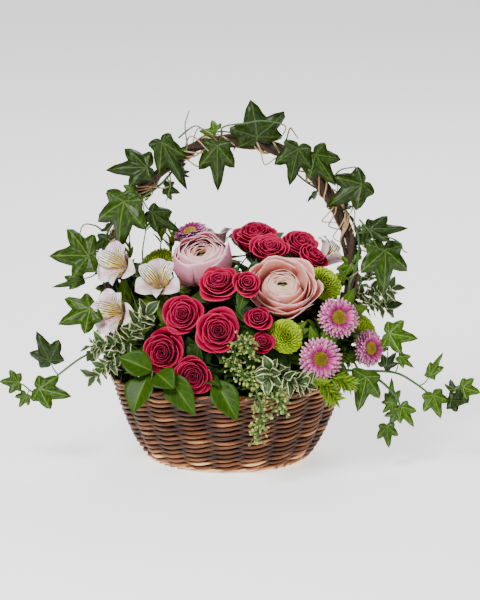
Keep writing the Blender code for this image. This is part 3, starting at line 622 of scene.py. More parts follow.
HOOP_TURNS = 5.0  # turns of a vine round the bundle
CORE, CORE_FOOT = 3.2, 2.2  # radius of the thick vine above the rim and below it
VINES = 7
VINE = 1.9  # radius
VINE_RING = 4.6  # how far the vines' centres are from the bundle's
RING_IN_WALL, VINE_IN_WALL = 0.5, 0.8  # what that and the radius are multiplied by below the rim
PALE_VINES = 3
PALE_VINE = 0.75  # radius
HOOP_FREE = 24  # points at each end of the hoop that the pale vines leave free
TENDRILS = 16
TENDRIL_STEPS = 14

rng = random.Random(31)
bm = new_shape()
add_rods(bm, [(hoop, [CORE if point.z > BASKET_HIGH else CORE_FOOT for point in hoop])], 0.1)
for strand in range(VINES):
    spin, wander, turns = 360 / VINES * strand, rng.uniform(0, 6), HOOP_TURNS * rng.uniform(0.8, 1.2)
    line, radii = [], []
    for k in range(len(hoop)):
        in_wall = hoop[k].z < BASKET_HIGH
        out = VINE_RING * (1 + 0.14 * math.sin(k * 0.23 + wander)) * (RING_IN_WALL if in_wall else 1)
        line.append(round_hoop(k, out, spin + 360 * turns * k / len(hoop)))
        radii.append((VINE + 0.4 * math.sin(k * 0.37 + strand * 1.7)) * (VINE_IN_WALL if in_wall else 1))
    add_rods(bm, [(line, radii)], rng.uniform(0.1, 0.8), roundness=2)
pale_vines = []
for strand in range(PALE_VINES):
    spin, turns = 130 * strand, HOOP_TURNS * (1.5 + 0.4 * strand)
    line = []
    for k in range(HOOP_FREE, len(hoop) - HOOP_FREE):
        out = 6.9 + 0.7 * math.sin(k * 0.4 + strand)
        line.append(round_hoop(k, out, spin + 360 * turns * k / len(hoop)))
    pale_vines.append(rod(line, PALE_VINE))
add_rods(bm, pale_vines, 1.8, roundness=2)
tendrils = []
for _ in range(TENDRILS):
    start = rng.randint(26, len(hoop) - 30)
    spin = rng.uniform(0, 360)
    reach, curl = rng.uniform(8, 15), rng.uniform(14, 22)
    line = []
    for j in range(TENDRIL_STEPS + 1):
        out = 5 + reach * math.sin(math.pi * j / TENDRIL_STEPS)
        line.append(round_hoop(start + j, out, spin + curl * j))
    tendrils.append(rod(line, 0.8, 0.4))
add_rods(bm, tendrils, 1.6)
handle = finished("vine_hoop", bm, [vine], ["handle"])
print("the hoop has", faces_of([handle]), "faces")

# %% [markdown]
# Liner and foam
#
# Both are plain solids that hardly show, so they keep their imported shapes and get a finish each: a
# smooth, slightly scuffed plastic, and a porous green foam whose pores are fine noise.

# %% Liner and foam finishes
scuffed = ((0.3, (0.012, 0.022, 0.012)), (0.7, (0.03, 0.05, 0.03)))
plastic = grained(new_finish("plastic", 0.42), 90, scuffed, 0.15, stretch=(1, 1, 0.2))
porous = ((0.35, (0.010, 0.035, 0.012)), (0.65, (0.035, 0.10, 0.035)))
foam = grained(new_finish("foam", 0.95), 900, porous, 0.9, 0.6, detail=4)

for name, finish in (("liner", plastic), ("foam", foam)):
    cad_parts[name].data.materials.clear()
    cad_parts[name].data.materials.append(finish)
print("liner and foam are dressed")

# %% [markdown]
# Where the blooms are
#
# Each bloom's row gives the middle of its face, its width, and the two angles that it looks along. The
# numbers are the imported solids' own. A bloom's depth from face to base is a share of its width.


# %% Tables of blooms
def numbered(kind, *rows):
    """Gives the rows of a table their names, which are the kind and a number from 1."""
    return {f"{kind}_{k}": row for k, row in enumerate(rows, 1)}


ROSES = numbered(
    "rose",
    ((-62, -87, 123), 40, -18, 14),
    ((-33, -104, 104), 35, -8, 6),
    ((-43, -80, 159), 37, -16, 26),
    ((-9, -95, 147), 40, -3, 24),
    ((-9, -68, 190), 38, -16, 56),
    ((18, -86, 191), 26, 6, 38),
    ((28, -90, 159), 25, -2, 44),
    ((33, -98, 137), 22, 5, 40),
    ((25, 34, 213), 44, -10, 74),
    ((40, -9, 209), 36, 10, 64),
    ((72, 44, 201), 36, 40, 62),
    ((84, 13, 195), 32, 62, 52),
    ((48, 86, 152), 40, 152, 38),
)
RANUNCULUS = numbered(
    "ranunculus",
    ((52, -54, 185), 68, 6, 46),
    ((-26, -20, 206), 60, -12, 64),
    ((-24, 80, 160), 60, -166, 40),
)
BUTTON_MUMS = numbered(
    "button_mum",
    ((95, -16, 178), 38, 35, 46),
    ((57, -89, 143), 36, 22, 34),
    ((138, 12, 125), 35, 75, 32),
    ((-74, 16, 193), 38, -70, 56),
    ((-80, 72, 136), 36, -132, 32),
)
ASTERS = numbered(
    "aster",
    ((105, -54, 149), 41, 16, 26),
    ((87, -88, 117), 42, 8, 14),
    ((136, -32, 113), 37, 42, 14),
    ((-37, 28, 214), 36, -60, 70),
)
ALSTROEMERIAS = numbered(
    "alstroemeria",
    ((-107, -36, 196), 48, -38, 22),
    ((-110, -42, 150), 50, -34, 14),
    ((-66, -54, 186), 48, -14, 40),
    ((102, 38, 192), 42, 110, 42),
    ((-12, 52, 204), 40, -170, 66),
)
DEPTHS = {"rose": 0.47, "ranunculus": 0.42, "button_mum": 0.5, "aster": 0.22, "alstroemeria": 0.55}
BLOOMS = {**ROSES, **RANUNCULUS, **BUTTON_MUMS, **ASTERS, **ALSTROEMERIAS}
SPIN = 47  # degrees that each bloom is turned on from the one before it


def seat_of(name):
    """A bloom's base point and the way it looks."""
    at, wide, turn, lift = BLOOMS[name]
    way = facing(turn, lift)
    return Vector(at) - way * wide * DEPTHS[name.rsplit("_", 1)[0]], way


def set_in_place(bm, name, finishes, slot, spin=None, ending="_bloom", node_ending=""):
    """Carries what was modelled at the origin to a bloom's place, where it stands for a solid."""
    if spin is None:
        spin = SPIN * (int(name.rsplit("_", 1)[1]) - 1)
    base, way = seat_of(name)
    bm.transform(place_of(base, way, spin))
    return finished(name + ending, bm, finishes, [name + node_ending])


print("there are", len(BLOOMS), "blooms")

# %% [markdown]
# Green parts of the blooms
#
# Every bloom sits in something green, a cup or a whorl of sepals, and it shares its green with the
# stems, which is lighter where the tint is high and has faint lengthwise streaks. Leaves are sheets
# with a midrib, a fold along it and a droop towards the tip. Their veins are lines on the UV map.


# %% Green finishes and leaves
def leaf_finish(name, deep, light_tone, rib, rough, veins=6.0, rim=None):
    """A leaf's upper side: a pale midrib, slanting side veins and, where rim is given, a pale edge."""
    finish = soft_finish(name, rough, 0.04, 2, 0.14)
    off, along, uv = sheet_place(finish)
    colour = mixed(finish, speckle(finish, uv, 3.0, (1, 2, 1)), deep, light_tone)
    slant = sums(finish, "MULTIPLY_ADD", off, -0.35, along)
    wave = sums(finish, "PINGPONG", times(finish, slant, veins), 0.5)
    side_veins = rescaled(finish, wave, 0.0, 0.09, 1.0, 0.0)
    midrib = rescaled(finish, off, 0.02, 0.10, 1.0, 0.0)
    lines = sums(finish, "MAXIMUM", times(finish, side_veins, 0.35), midrib)
    colour = mixed(finish, times(finish, lines, 0.8), colour, rib)
    if rim:
        ragged = sums(finish, "MULTIPLY_ADD", speckle(finish, uv, 5.0), 0.5, off)
        colour = mixed_in(finish, colour, rim, ragged, 0.95, 1.05)
    sunk = times(finish, lines, -1.0)
    return paint(finish, shaded(finish, colour, 0.7, 1.35), sunk, 0.35, 0.5)


stem_green = new_finish("stem_green", 0.5)
streaks = speckle(stem_green, uv_place(stem_green), 5, (4, 1, 1))
green = ramp(stem_green, streaks, (0.3, (0.030, 0.085, 0.010)), (0.7, (0.075, 0.17, 0.025)))
paint(stem_green, shaded(stem_green, green, 0.7, 1.3), streaks, 0.2)


def leaf_outline(v, widest=0.42, point=1.0):
    """Half the width of a leaf at v, as a share of its widest."""
    if v < widest:
        return math.sin(math.pi / 2 * v / widest) ** 0.8
    return math.cos(math.pi / 2 * ((v - widest) / (1 - widest)) ** point)


def leaf_ways(root, tip, face):
    """A leaf's length, and the ways along it, across it and out of its upper side."""
    ahead = (tip - root).normalized()
    side = ahead.cross(face).normalized()
    return (tip - root).length, ahead, side, side.cross(ahead)


def add_leaf(bm, root, tip, face, wide, tint=0.5, finish=0, fold=0.2, droop=0.15, wave=0.0, grid=(4, 8)):
    """A leaf from root to tip with its upper side towards face."""
    long, ahead, side, up = leaf_ways(root, tip, face)

    def shape(u, v):
        half = wide / 2 * max(leaf_outline(v), 0.02)
        raised = abs(u) * half * fold + droop * long * (v - v * v) * 2
        raised += wave * math.sin(v * 13 + u * 2) * u * half
        return root + ahead * (long * v) + side * (u * half) + up * raised

    add_sheet(bm, *grid, shape, tint, finish)


def add_sepals(bm, count, long, wide, cup, rng):
    """Green sepals round the base of a bloom, over a small round cup."""
    for k in range(count):
        out, _ = spoke(math.tau * (k + rng.uniform(-0.2, 0.2)) / count)
        tip = out * long + UP * (long * rng.uniform(-0.1, 0.5))
        add_leaf(bm, out * cup * 0.7, tip, UP, wide, 0.5, 1)


def add_ball(bm, radius, middle, shares, finish, fine=(10, 6)):
    """A round part of a bloom, a ball with its middle at a height, squashed to shares of itself."""
    ball = bmesh.ops.create_uvsphere(bm, u_segments=fine[0], v_segments=fine[1], radius=radius)
    mark(bm, ball["verts"], 0.5, finish)
    bmesh.ops.scale(bm, verts=ball["verts"], vec=shares)
    bmesh.ops.translate(bm, verts=ball["verts"], vec=UP * middle)


def add_cup(bm, radius, high, finish=1, low=0.0):
    """A small round cup that reaches from low to high."""
    add_ball(bm, radius, (low + high) / 2, (1, 1, (high - low) / radius / 2), finish)


print("the greens are ready")

# %% [markdown]
# Spray roses
#
# A spray rose is a spiral of up to twenty-five petals. The innermost are rolled tight and stand up, each
# later one is wider, leans out further and rolls its lip back. Successive petals are a golden angle
# apart, so that none lies straight over another. The rim of each petal is painted pale pink, a painted
# highlight where it catches the light, and its foot, in the hollow between two petals, is painted a deep
# crimson as painted shade. That contrast draws the rings.


# %% Rose petals
def petal_finish(name, stops, streak, glow=0.1, low=0.8, high=1.15, shine=0.15):
    """A petal's colour from its foot to its rim, which the last stops give, with fine streaks."""
    finish = soft_finish(name, 0.55, glow, 3, shine)
    off, along, uv = sheet_place(finish)
    veins = speckle(finish, uv, 4, (14, 1.5, 1), 4)
    side = times(finish, sums(finish, "POWER", off, 3.0), sums(finish, "ADD", along, 0.25))
    edge = sums(finish, "MAXIMUM", along, sums(finish, "MINIMUM", side, 1.0))
    edge = sums(finish, "MULTIPLY_ADD", sums(finish, "SUBTRACT", veins, 0.5), 0.10, edge)
    colour = mixed_in(finish, ramp(finish, edge, *stops), streak, veins, 0.45, 0.75, 0.35)
    return paint(finish, shaded(finish, colour, low, high), veins, 0.25, 0.25)


# From the petal's foot to its rim: the dark foot is painted shade in the hollows, the pale rim a painted
# highlight
ROSE_STOPS = (
    (0.0, (0.035, 0.0, 0.003)),
    (0.55, (0.14, 0.0, 0.010)),
    (0.88, (0.28, 0.0, 0.024)),
    (0.97, (0.35, 0.0, 0.038)),
    (1.0, (0.62, 0.045, 0.13)),
)
rose_petal = petal_finish("rose_petal", ROSE_STOPS, (0.18, 0.0, 0.014), 0.04, 0.45, 1.25, 0.06)


def rose_shape(t, turn, wide, rng):
    """The rule of one petal. T goes from 0 at the heart to 1 at the outermost petal."""
    lip = wide * between(0.04, 0.46, t**1.25) * rng.uniform(0.96, 1.03)
    high = wide * (0.38 + 0.11 * math.sin(math.pi * t**0.8) - 0.03 * t) * rng.uniform(0.95, 1.05)
    turn, ruffle, lean = turn + rng.uniform(-0.25, 0.25), rng.uniform(0, 6), rng.uniform(-0.12, 0.12)
    foot = -wide * 0.2 * t
    span = math.radians(between(230, 128, t**0.5))
    curl = wide * rng.uniform(0.07, 0.14) * t**1.3

    def shape(u, v):
        a = turn + u * span / 2
        point = 1 - abs(u)
        r = lip * (0.14 + 0.86 * math.sin(math.pi / 2 * v) ** 0.9) * (1 + 0.07 * u)
        z = between(foot, high * (0.82 + 0.18 * point) * (1 + lean * u), v**1.15)
        roll = past(0.72, v)
        r += curl * roll**2 * (0.5 + 0.5 * point) + lip * 0.20 * t * (point - 0.45) * v**2
        z += -curl * 0.6 * roll**3 + wide * 0.022 * math.sin(u * 5 + ruffle) * v**4
        return Vector((r * math.cos(a), r * math.sin(a), z + 1.2))

    return shape


print("a rose petal is about", round(40 * DEPTHS["rose"]), "mm long")

# %% [markdown]
# Thirteen roses
#
# A large rose gets more petals than a small one. The tight petals are painted darker than the outer ones,
# painted shade deep in the cup. The roses that stand high are painted lighter as a whole and the low ones
# darker, painted light and shade. Each rose is turned by its own angle, so that no two of them show the
# same spiral.

# %% Set the roses
GOLDEN = math.radians(137.5)
SMALL_ROSE = 33  # a rose up to this width is a small one
LARGE_PETALS, SMALL_PETALS = 25, 17
LIT_LEVEL, LIT_RANGE = 165, 220  # the tint grows by 1 when a rose stands this range above the level: painted light on high roses, painted shade on low ones

rng = random.Random(5)
roses = []
for name, (at, wide, *_) in ROSES.items():
    petals = LARGE_PETALS if wide > SMALL_ROSE else SMALL_PETALS
    light_tone = (at[2] - LIT_LEVEL) / LIT_RANGE
    bm = new_shape()
    for k in range(petals):
        t = k / (petals - 1)
        # The inner petals' low tint is painted shade in the cup; the height term paints light on high roses
        # and shade on low ones
        tint = within(between(0.1, 0.75, t) + rng.uniform(-0.1, 0.25) + light_tone, 1.3)
        add_sheet(bm, 9, 9, rose_shape(t, GOLDEN * k, wide, rng), tint)
    add_sepals(bm, 5, wide * 0.30, wide * 0.13, wide * 0.1, rng)
    thicken(bm, 0.35)
    add_cup(bm, wide * 0.11, wide * 0.17)
    roses.append(set_in_place(bm, name, [rose_petal, stem_green], "rose"))
print(len(roses), "roses have", faces_of(roses), "faces")

# %% [markdown]
# Ranunculus
#
# A ranunculus has a hundred or more paper-thin petals, packed like the layers of an onion round a green
# heart. Each layer is a bowl that covers the one inside it, and only its rim shows. So each petal is a
# patch of a ball, and some forty of them are enough. The inner ones nearly close over the heart, one
# behind the other. The outermost rows stop near the equator and stand open, as the guard petals do.


# %% Ranunculus petals
def layered_petal(name, heart, middle, low, high, rim, streak):
    """Inner petals go from the heart's colour to a pale middle one, outer ones from low to the rim's."""
    finish = soft_finish(name, 0.55, 0.15, 4, 0.2)
    _, along, uv = sheet_place(finish)
    veins = speckle(finish, uv, 4, (14, 1.2, 1), 4)
    inner = ramp(finish, along, (0.0, heart), (1.0, middle))
    halfway = between(Vector(low), Vector(high), 0.6)
    outer = ramp(finish, along, (0.0, low), (0.6, halfway), (0.95, high), (1.0, rim))
    colour = mixed(finish, tint_of(finish), inner, outer)
    return paint(finish, mixed_in(finish, colour, streak, veins, 0.45, 0.75, 0.3), veins, 0.25, 0.25)


blush_petal = layered_petal(
    "blush_petal", (0.50, 0.28, 0.08), (0.90, 0.58, 0.43), (0.52, 0.12, 0.10), (0.80, 0.31, 0.28),
    (0.96, 0.66, 0.62), (0.62, 0.18, 0.17)
)
shell_petal = layered_petal(
    "shell_petal", (0.34, 0.32, 0.05), (0.88, 0.46, 0.34), (0.50, 0.10, 0.16), (0.74, 0.30, 0.40),
    (0.95, 0.78, 0.82), (0.56, 0.14, 0.24)
)

green_stops = ((0.3, (0.02, 0.045, 0.005)), (0.7, (0.14, 0.20, 0.02)))
heart_green = grained(new_finish("heart_green", 0.6), 900, green_stops, 0.6, 0.5)

GUARD = 0.66  # petals before this share of the count close over the heart
# How far each row of petals lies from the heart as shares of the width, where the rows stop in degrees
# from the foot, and how far the outermost rise and lean out past that. Then the number of petals, and
# the height of the heart's top.
OPEN_BLOOM = {
    "ball": (0.15, 0.29),
    "close": (160, 124),
    "guard": (0.33, 0.45),
    "stop": (104, 92),
    "rise": 0.17,
    "flare": 0.05,
    "wrap": 0.05,
    "petals": 40,
    "top": 0.285,
}
CUPPED_BLOOM = {
    "ball": (0.18, 0.36),
    "close": (156, 140),
    "guard": (0.38, 0.48),
    "stop": (146, 130),
    "rise": 0.0,
    "flare": 0.04,
    "wrap": 0.012,
    "petals": 32,
    "top": 0.315,
}
CUPPED = "ranunculus_2"
HEART = 0.075  # the heart's radius as a share of the width
SLIT = 0.42  # how much the middle is drawn out to one side


def ranunculus_shape(t, turn, wide, form, ruffle):
    """The rule of one petal. T goes from 0 at the heart to 1 at the outermost petal."""
    if t < GUARD:
        share = t / GUARD
        ball = wide * between(*form["ball"], share)
        stop = math.radians(between(*form["close"], share**1.25))
        flat, rise, flare = between(0.95, 0.85, share), 0.0, 0.0
        span = math.radians(between(190, 120, share))
    else:
        share = (t - GUARD) / (1 - GUARD)
        ball = wide * between(*form["guard"], share)
        stop = math.radians(between(*form["stop"], share))
        flat = 0.85
        rise, flare = wide * form["rise"] * (1 - 0.35 * share), wide * form["flare"] * (0.3 + share)
        span = math.radians(between(124, 104, share))
    middle = wide * 0.17

    def shape(u, v):
        a = turn + u * span / 2
        polar = between(0.4, stop, v) - 0.12 * abs(u) ** 2.5 * v
        r = ball * math.sin(polar) * (1 + form["wrap"] * u)
        z = middle - ball * math.cos(polar) * (flat if polar > math.pi / 2 else 0.75)
        lip = past(0.6, v)
        r += flare * lip**2 * (1 + 0.7 * math.sin(u * 4 + ruffle))
        z += rise * lip * (1 - 0.5 * abs(u) ** 2) + wide * 0.016 * math.sin(u * 5 + ruffle) * lip
        slit = SLIT * math.exp(-((r / (wide * 0.12)) ** 2))
        return Vector((r * math.cos(a) * (1 + slit), r * math.sin(a) * (1 - slit), z))

    return shape


rng = random.Random(6)
ranunculi = []
for name, (_, wide, *_) in RANUNCULUS.items():
    bm = new_shape()
    form, petal = (CUPPED_BLOOM, shell_petal) if name == CUPPED else (OPEN_BLOOM, blush_petal)
    for k in range(form["petals"]):
        t = k / (form["petals"] - 1)
        tint = within(between(0.0, 1.05, t) + rng.uniform(-0.12, 0.12))
        add_sheet(bm, 9, 12, ranunculus_shape(t, GOLDEN * k, wide, form, rng.uniform(0, 6)), tint)
    add_sepals(bm, 5, wide * 0.3, wide * 0.16, wide * 0.1, rng)
    thicken(bm, 0.3)
    heart = wide * HEART
    add_ball(bm, heart, wide * form["top"] - heart * 0.8, (1, 0.55, 0.8), 2, (12, 8))
    add_cup(bm, wide * 0.085, wide * 0.16)
    ranunculi.append(set_in_place(bm, name, [petal, stem_green, heart_green], "blush"))
print(len(ranunculi), "ranunculus blooms have", faces_of(ranunculi), "faces")

# %% [markdown]
# Button chrysanthemums
#
# A button mum is a low dome of some two hundred little florets. Each is a spoon that curls in over the
# middle. The sunflower rule spreads them evenly over the dome: the angle grows by the golden angle, and
# the distance from the top with the square root of the count.

# %% Button mums
LIME_STOPS = ((0.0, (0.015, 0.045, 0.002)), (0.5, (0.12, 0.25, 0.004)), (1.0, (0.44, 0.62, 0.012)))
lime_floret = petal_finish("lime_floret", LIME_STOPS, (0.20, 0.34, 0.02), low=0.5, high=1.4)
FLORETS = 230
DOME = 108  # degrees from the top to the last florets
DOME_FLAT = 0.84


def floret_shape(way, side, start, long, wide, curl):
    """A spoon that starts at a distance from the middle and runs outwards along way."""

    def shape(u, v):
        half = wide / 2 * (0.55 + 0.9 * math.sin(math.pi * min(v * 0.9, 1)) ** 0.8) * (1 - 0.45 * v**4)
        hollow = way * (abs(u) * half * 0.45)
        return way * (start + long * v) + side * (u * half) + UP * (curl * long * v * v) + hollow

    return shape


rng = random.Random(7)
mums = []
for name, (_, wide, *_) in BUTTON_MUMS.items():
    bm = new_shape()
    for k in range(FLORETS):
        share = math.sqrt((k + 0.5) / FLORETS)
        polar = math.radians(DOME * share)
        out, side = spoke(GOLDEN * k)
        way = out * math.sin(polar) + UP * math.cos(polar)
        tint = between(0.15, 0.75, share) + rng.uniform(-0.15, 0.2)
        long = between(0.13, 0.33, share) * wide * rng.uniform(0.92, 1.05)
        start = wide * between(0.20, 0.16, share)
        add_sheet(bm, 2, 4, floret_shape(way, side, start, long, wide * 0.085, 0.5 * share), tint)
    thicken(bm, 0.3)
    add_cup(bm, wide * 0.2, wide * 0.17, 0, -wide * 0.16)
    bmesh.ops.scale(bm, verts=bm.verts, vec=(1, 1, DOME_FLAT))
    bmesh.ops.translate(bm, verts=bm.verts, vec=UP * (wide * 0.14))
    add_cup(bm, wide * 0.14, wide * 0.22)
    mums.append(set_in_place(bm, name, [lime_floret, stem_green], "lime"))
print(len(mums), "button mums have", faces_of(mums), "faces")

# %% [markdown]
# Asters
#
# These have narrow rays in four rows round a flat button of tiny tube florets. The rays of an inner row
# stand steeper. They are mauve pink with pale tips. The button has a colour of its own and is a piece
# of its own.

# %% Asters
RAY_STOPS = (
    (0.0, (0.12, 0.002, 0.05)),
    (0.45, (0.44, 0.020, 0.19)),
    (0.86, (0.70, 0.13, 0.37)),
    (1.0, (0.94, 0.62, 0.75)),
)
aster_ray = petal_finish("aster_ray", RAY_STOPS, (0.44, 0.04, 0.22), low=0.5, high=1.25)
gold_stops = ((0.3, (0.22, 0.20, 0.015)), (0.6, (0.58, 0.42, 0.02)))
disc_gold = grained(new_finish("disc_gold", 0.75), 700, gold_stops, 0.4, shades=(0.55, 1.3))
RAY_ROWS = ((30, 0.50, 4), (27, 0.46, 15), (24, 0.41, 27), (21, 0.34, 40))  # count, reach and lift
RAY_LEVEL, RAY_STEP = 3.0, 0.75  # height of the lowest row, and from one row to the next
BUDS = 110
BUD_LEVEL, BUD_RISE = 6.8, 2.2  # height of the outermost tube florets, and how much higher the middle is


def ray_shape(a, reach, lift, wide, inner, level):
    """A narrow ray from the disc's edge at inner out to reach, lift degrees above level."""
    out, side = spoke(a)
    rise = math.tan(math.radians(lift))

    def shape(u, v):
        far = between(inner, reach, v)
        half = wide / 2 * (0.6 + 0.5 * math.sin(math.pi * v * 0.8)) * (1 - v**6 * 0.6)
        high = (far - inner) * rise * (1 - 0.35 * v) + abs(u) * half * 0.35
        return out * far + side * (u * half) + UP * (high + level)

    return shape


def add_cone(bm, place, segments, low, high, depth, tint):
    """A short closed cone with a radius at its low and its high end."""
    cone = bmesh.ops.create_cone(
        bm, cap_ends=True, segments=segments, radius1=low, radius2=high, depth=depth
    )
    bmesh.ops.translate(bm, verts=cone["verts"], vec=place)
    mark(bm, cone["verts"], tint, 0)


rng = random.Random(8)
asters = []
for name, (_, wide, *_) in ASTERS.items():
    bm = new_shape()
    for row, (count, reach, lift_row) in enumerate(RAY_ROWS):
        for k in range(count):
            a = math.tau * (k + row * 0.4 + rng.uniform(-0.2, 0.2)) / count
            far = reach * wide * rng.uniform(0.95, 1.02)
            lift = lift_row + rng.uniform(-6, 6)
            shape = ray_shape(a, far, lift, wide * 0.078, wide * 0.13, RAY_LEVEL + RAY_STEP * row)
            add_sheet(bm, 2, 6, shape, rng.uniform(0.1, 0.9))
    add_sepals(bm, 9, wide * 0.15, wide * 0.06, wide * 0.08, rng)
    thicken(bm, 0.3)
    add_cup(bm, wide * 0.12, wide * 0.15)
    asters.append(set_in_place(bm, name, [aster_ray, stem_green], "aster_pink"))

    bm = new_shape()
    for k in range(BUDS):
        share = math.sqrt((k + 0.5) / BUDS)
        spot = spoke(GOLDEN * k)[0] * share * wide * 0.17 + UP * (BUD_LEVEL + BUD_RISE * (1 - share**2))
        add_cone(bm, spot, 5, 0.55, 0.3, 1.8, between(0.1, 0.8, share))
    add_cone(bm, UP * 5.4, 20, wide * 0.12, wide * 0.13, 2, 0.0)
    endings = {"ending": "_disc_florets", "node_ending": "_disc"}
    asters.append(set_in_place(bm, name, [disc_gold], "aster_disc", **endings))
print(len(asters), "aster pieces have", faces_of(asters), "faces")

# %% [markdown]
# Alstroemeria
#
# An alstroemeria has six tepals. The three outer ones are broad, white and flushed with pink down their
# middle, and end in a green point. The three inner ones are narrow and stand between them. They carry a
# yellow patch with short maroon dashes that guide insects in. Six stamens bend forward.

# %% Alstroemeria tepals
outer_tepal = soft_finish("outer_tepal", 0.5, 0.1, 3, 0.2)
off, along, uv = sheet_place(outer_tepal)
veins = speckle(outer_tepal, uv, 4, (9, 0.8, 1))
# The white is greyed to lilac, most of all low towards the throat, which is painted shade
OUTER_STOPS = (
    (0.0, (0.42, 0.36, 0.16)),
    (0.3, (0.72, 0.60, 0.60)),
    (0.7, (0.86, 0.79, 0.81)),
    (0.95, (0.80, 0.70, 0.72)),
    (1.0, (0.28, 0.36, 0.08)),
)
near_rib = rescaled(outer_tepal, off, 0.10, 0.75, 0.9, 0.0)
flush = times(outer_tepal, near_rib, rescaled(outer_tepal, veins, 0.36, 0.66))
colour = mixed(outer_tepal, flush, ramp(outer_tepal, along, *OUTER_STOPS), (0.60, 0.10, 0.22))
colour = mixed_in(outer_tepal, colour, (0.66, 0.40, 0.50), veins, 0.5, 0.8, 0.3)
paint(outer_tepal, shaded(outer_tepal, colour, 0.8, 1.08), veins, 0.3, 0.3)

inner_tepal = soft_finish("inner_tepal", 0.5, 0.1, 3, 0.2)
off, along, uv = sheet_place(inner_tepal)
INNER_STOPS = (
    (0.0, (0.34, 0.16, 0.06)),
    (0.25, (0.70, 0.58, 0.08)),
    (0.48, (0.84, 0.77, 0.34)),
    (0.66, (0.90, 0.86, 0.82)),
    (1.0, (0.84, 0.70, 0.74)),
)
# The dashes lie in wavy rows along the tepal, broken by noise, and end before its foot and its tip
wander = speckle(inner_tepal, uv, 3, (1, 2, 1), 1)
spread = sums(inner_tepal, "MULTIPLY_ADD", wander, 0.8, times(inner_tepal, off, 3.6))
rows = rescaled(inner_tepal, sums(inner_tepal, "PINGPONG", spread, 0.5), 0.16, 0.25, 1, 0)
broken = rescaled(inner_tepal, speckle(inner_tepal, uv, 1, (11, 6, 1), 1), 0.37, 0.44)
above_foot = rescaled(inner_tepal, along, 0.15, 0.28)
zone = times(inner_tepal, above_foot, rescaled(inner_tepal, along, 0.80, 0.97, 1, 0))
dash = times(inner_tepal, rows, times(inner_tepal, broken, zone))
colour = mixed(inner_tepal, dash, ramp(inner_tepal, along, *INNER_STOPS), (0.085, 0.002, 0.016))
paint(inner_tepal, shaded(inner_tepal, colour, 0.85, 1.1), wander, 0.1)

pollen_stops = ((0.3, (0.22, 0.14, 0.06)), (0.7, (0.50, 0.38, 0.18)))
pollen = grained(new_finish("pollen", 0.8), 1500, pollen_stops, 0.6)


def tepal_shape(a, wide, share, high, half_wide, sweep, tip):
    """A tepal that rises out of the throat and bends outwards to its tip."""
    out, side = spoke(a)

    def shape(u, v):
        far = wide * share * (0.10 + 0.90 * v**1.35)
        z = wide * high * (1.0 - (1.0 - v) ** 1.7) - wide * sweep * max(v - 0.55, 0) ** 2
        half = half_wide * wide * leaf_outline(0.08 + 0.92 * v, 0.62, tip)
        z += (abs(u) ** 2) * half * 0.30 + wide * 0.01 * math.sin(v * 9 + u * 4)
        return out * far + side * (u * half) + UP * (z + 1)

    return shape


print("the tepals have their rule")

# %% [markdown]
# Five trumpets
#
# The outer tepals are set first, then the inner ones between them. The upper two of these are broader
# than the lowest. A stamen is a thin rod that ends in a grain of pollen. The three trumpets at the left
# lean over by angles of their own.

# %% Set the alstroemerias
# Reach, height, half width, sweep and pointedness of a tepal, mostly as shares of the bloom's width
OUTER = (0.50, 0.52, 0.215, 0.50, 1.6)
UPPER = (0.45, 0.64, 0.155, 0.30, 1.4)
LOWEST = (0.45, 0.64, 0.11, 0.30, 1.4)
# Each tepal's angle round the throat, with up at 90, and its form
OUTER_TEPALS = ((90, OUTER), (205, OUTER), (335, OUTER))
INNER_TEPALS = ((38, UPPER), (142, UPPER), (270, LOWEST))
STAMENS = 6
LILY_SPINS = {"alstroemeria_1": 22, "alstroemeria_2": 30, "alstroemeria_3": 8}  # how far each leans over

rng = random.Random(9)
lilies = []
for name, (_, wide, *_) in ALSTROEMERIAS.items():
    bm = new_shape()
    for finish, (tepals, stray, across) in enumerate(((OUTER_TEPALS, 6, 10), (INNER_TEPALS, 5, 8))):
        for angle, form in tepals:
            a = math.radians(angle + rng.uniform(-stray, stray))
            add_sheet(bm, across, 14, tepal_shape(a, wide, *form), rng.uniform(0.3, 0.8), finish)
    thicken(bm, 0.4)
    stamens = []
    for k in range(STAMENS):
        out, _ = spoke(math.tau * (k + rng.uniform(-0.2, 0.2)) / STAMENS)
        ends = [out * 1.2 + UP * 4, (out * 0.07 + UP * 0.3) * wide, (out * 0.16 + UP * 0.52) * wide]
        stamens.append(rod(smooth_line(ends, 3), 0.5, 0.35))
        grain = bmesh.ops.create_icosphere(bm, subdivisions=1, radius=1.2)
        bmesh.ops.scale(bm, verts=grain["verts"], vec=(0.6, 0.6, 1))
        bmesh.ops.translate(bm, verts=grain["verts"], vec=ends[-1])
        mark(bm, grain["verts"], 0.5, 3)
    add_rods(bm, stamens, 0.7)
    add_cup(bm, wide * 0.07, wide * 0.2, 2)
    finishes = [outer_tepal, inner_tepal, stem_green, pollen]
    lilies.append(set_in_place(bm, name, finishes, "lily_white", LILY_SPINS.get(name, 0)))
print(len(lilies), "alstroemerias have", faces_of(lilies), "faces")

# %% [markdown]
# Stems with their leaves
#
# Every stem comes out of the foam, forks, and carries its blooms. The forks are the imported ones. Leaves
# fill the room between the heads, as a florist leaves them on, and hide the foam. They are placed at
# random along the branches with a fixed seed, so that each run gives the same basket, and one that
# would hide a bloom is left out. A collar of leaves stands close behind each bloom.

# %% Stems
FOCUS = Vector((5.0, 0.0, 52.0))  # the stems fan out from here, deep in the foam
STEM_END = 32.0
LOWEST_TIP = 90.0  # no leaf of a stem ends lower than this
COLLAR = 7  # leaves close behind each bloom
TRIES = 20  # how often a place for a leaf is tried, times the number of leaves
NECK_LONG = 5.35  # the last bend of a branch is this far behind its bloom
NECK_RADII = (0.8, 1.0, 1.3)  # the last radii of a branch, as shares of its stem's
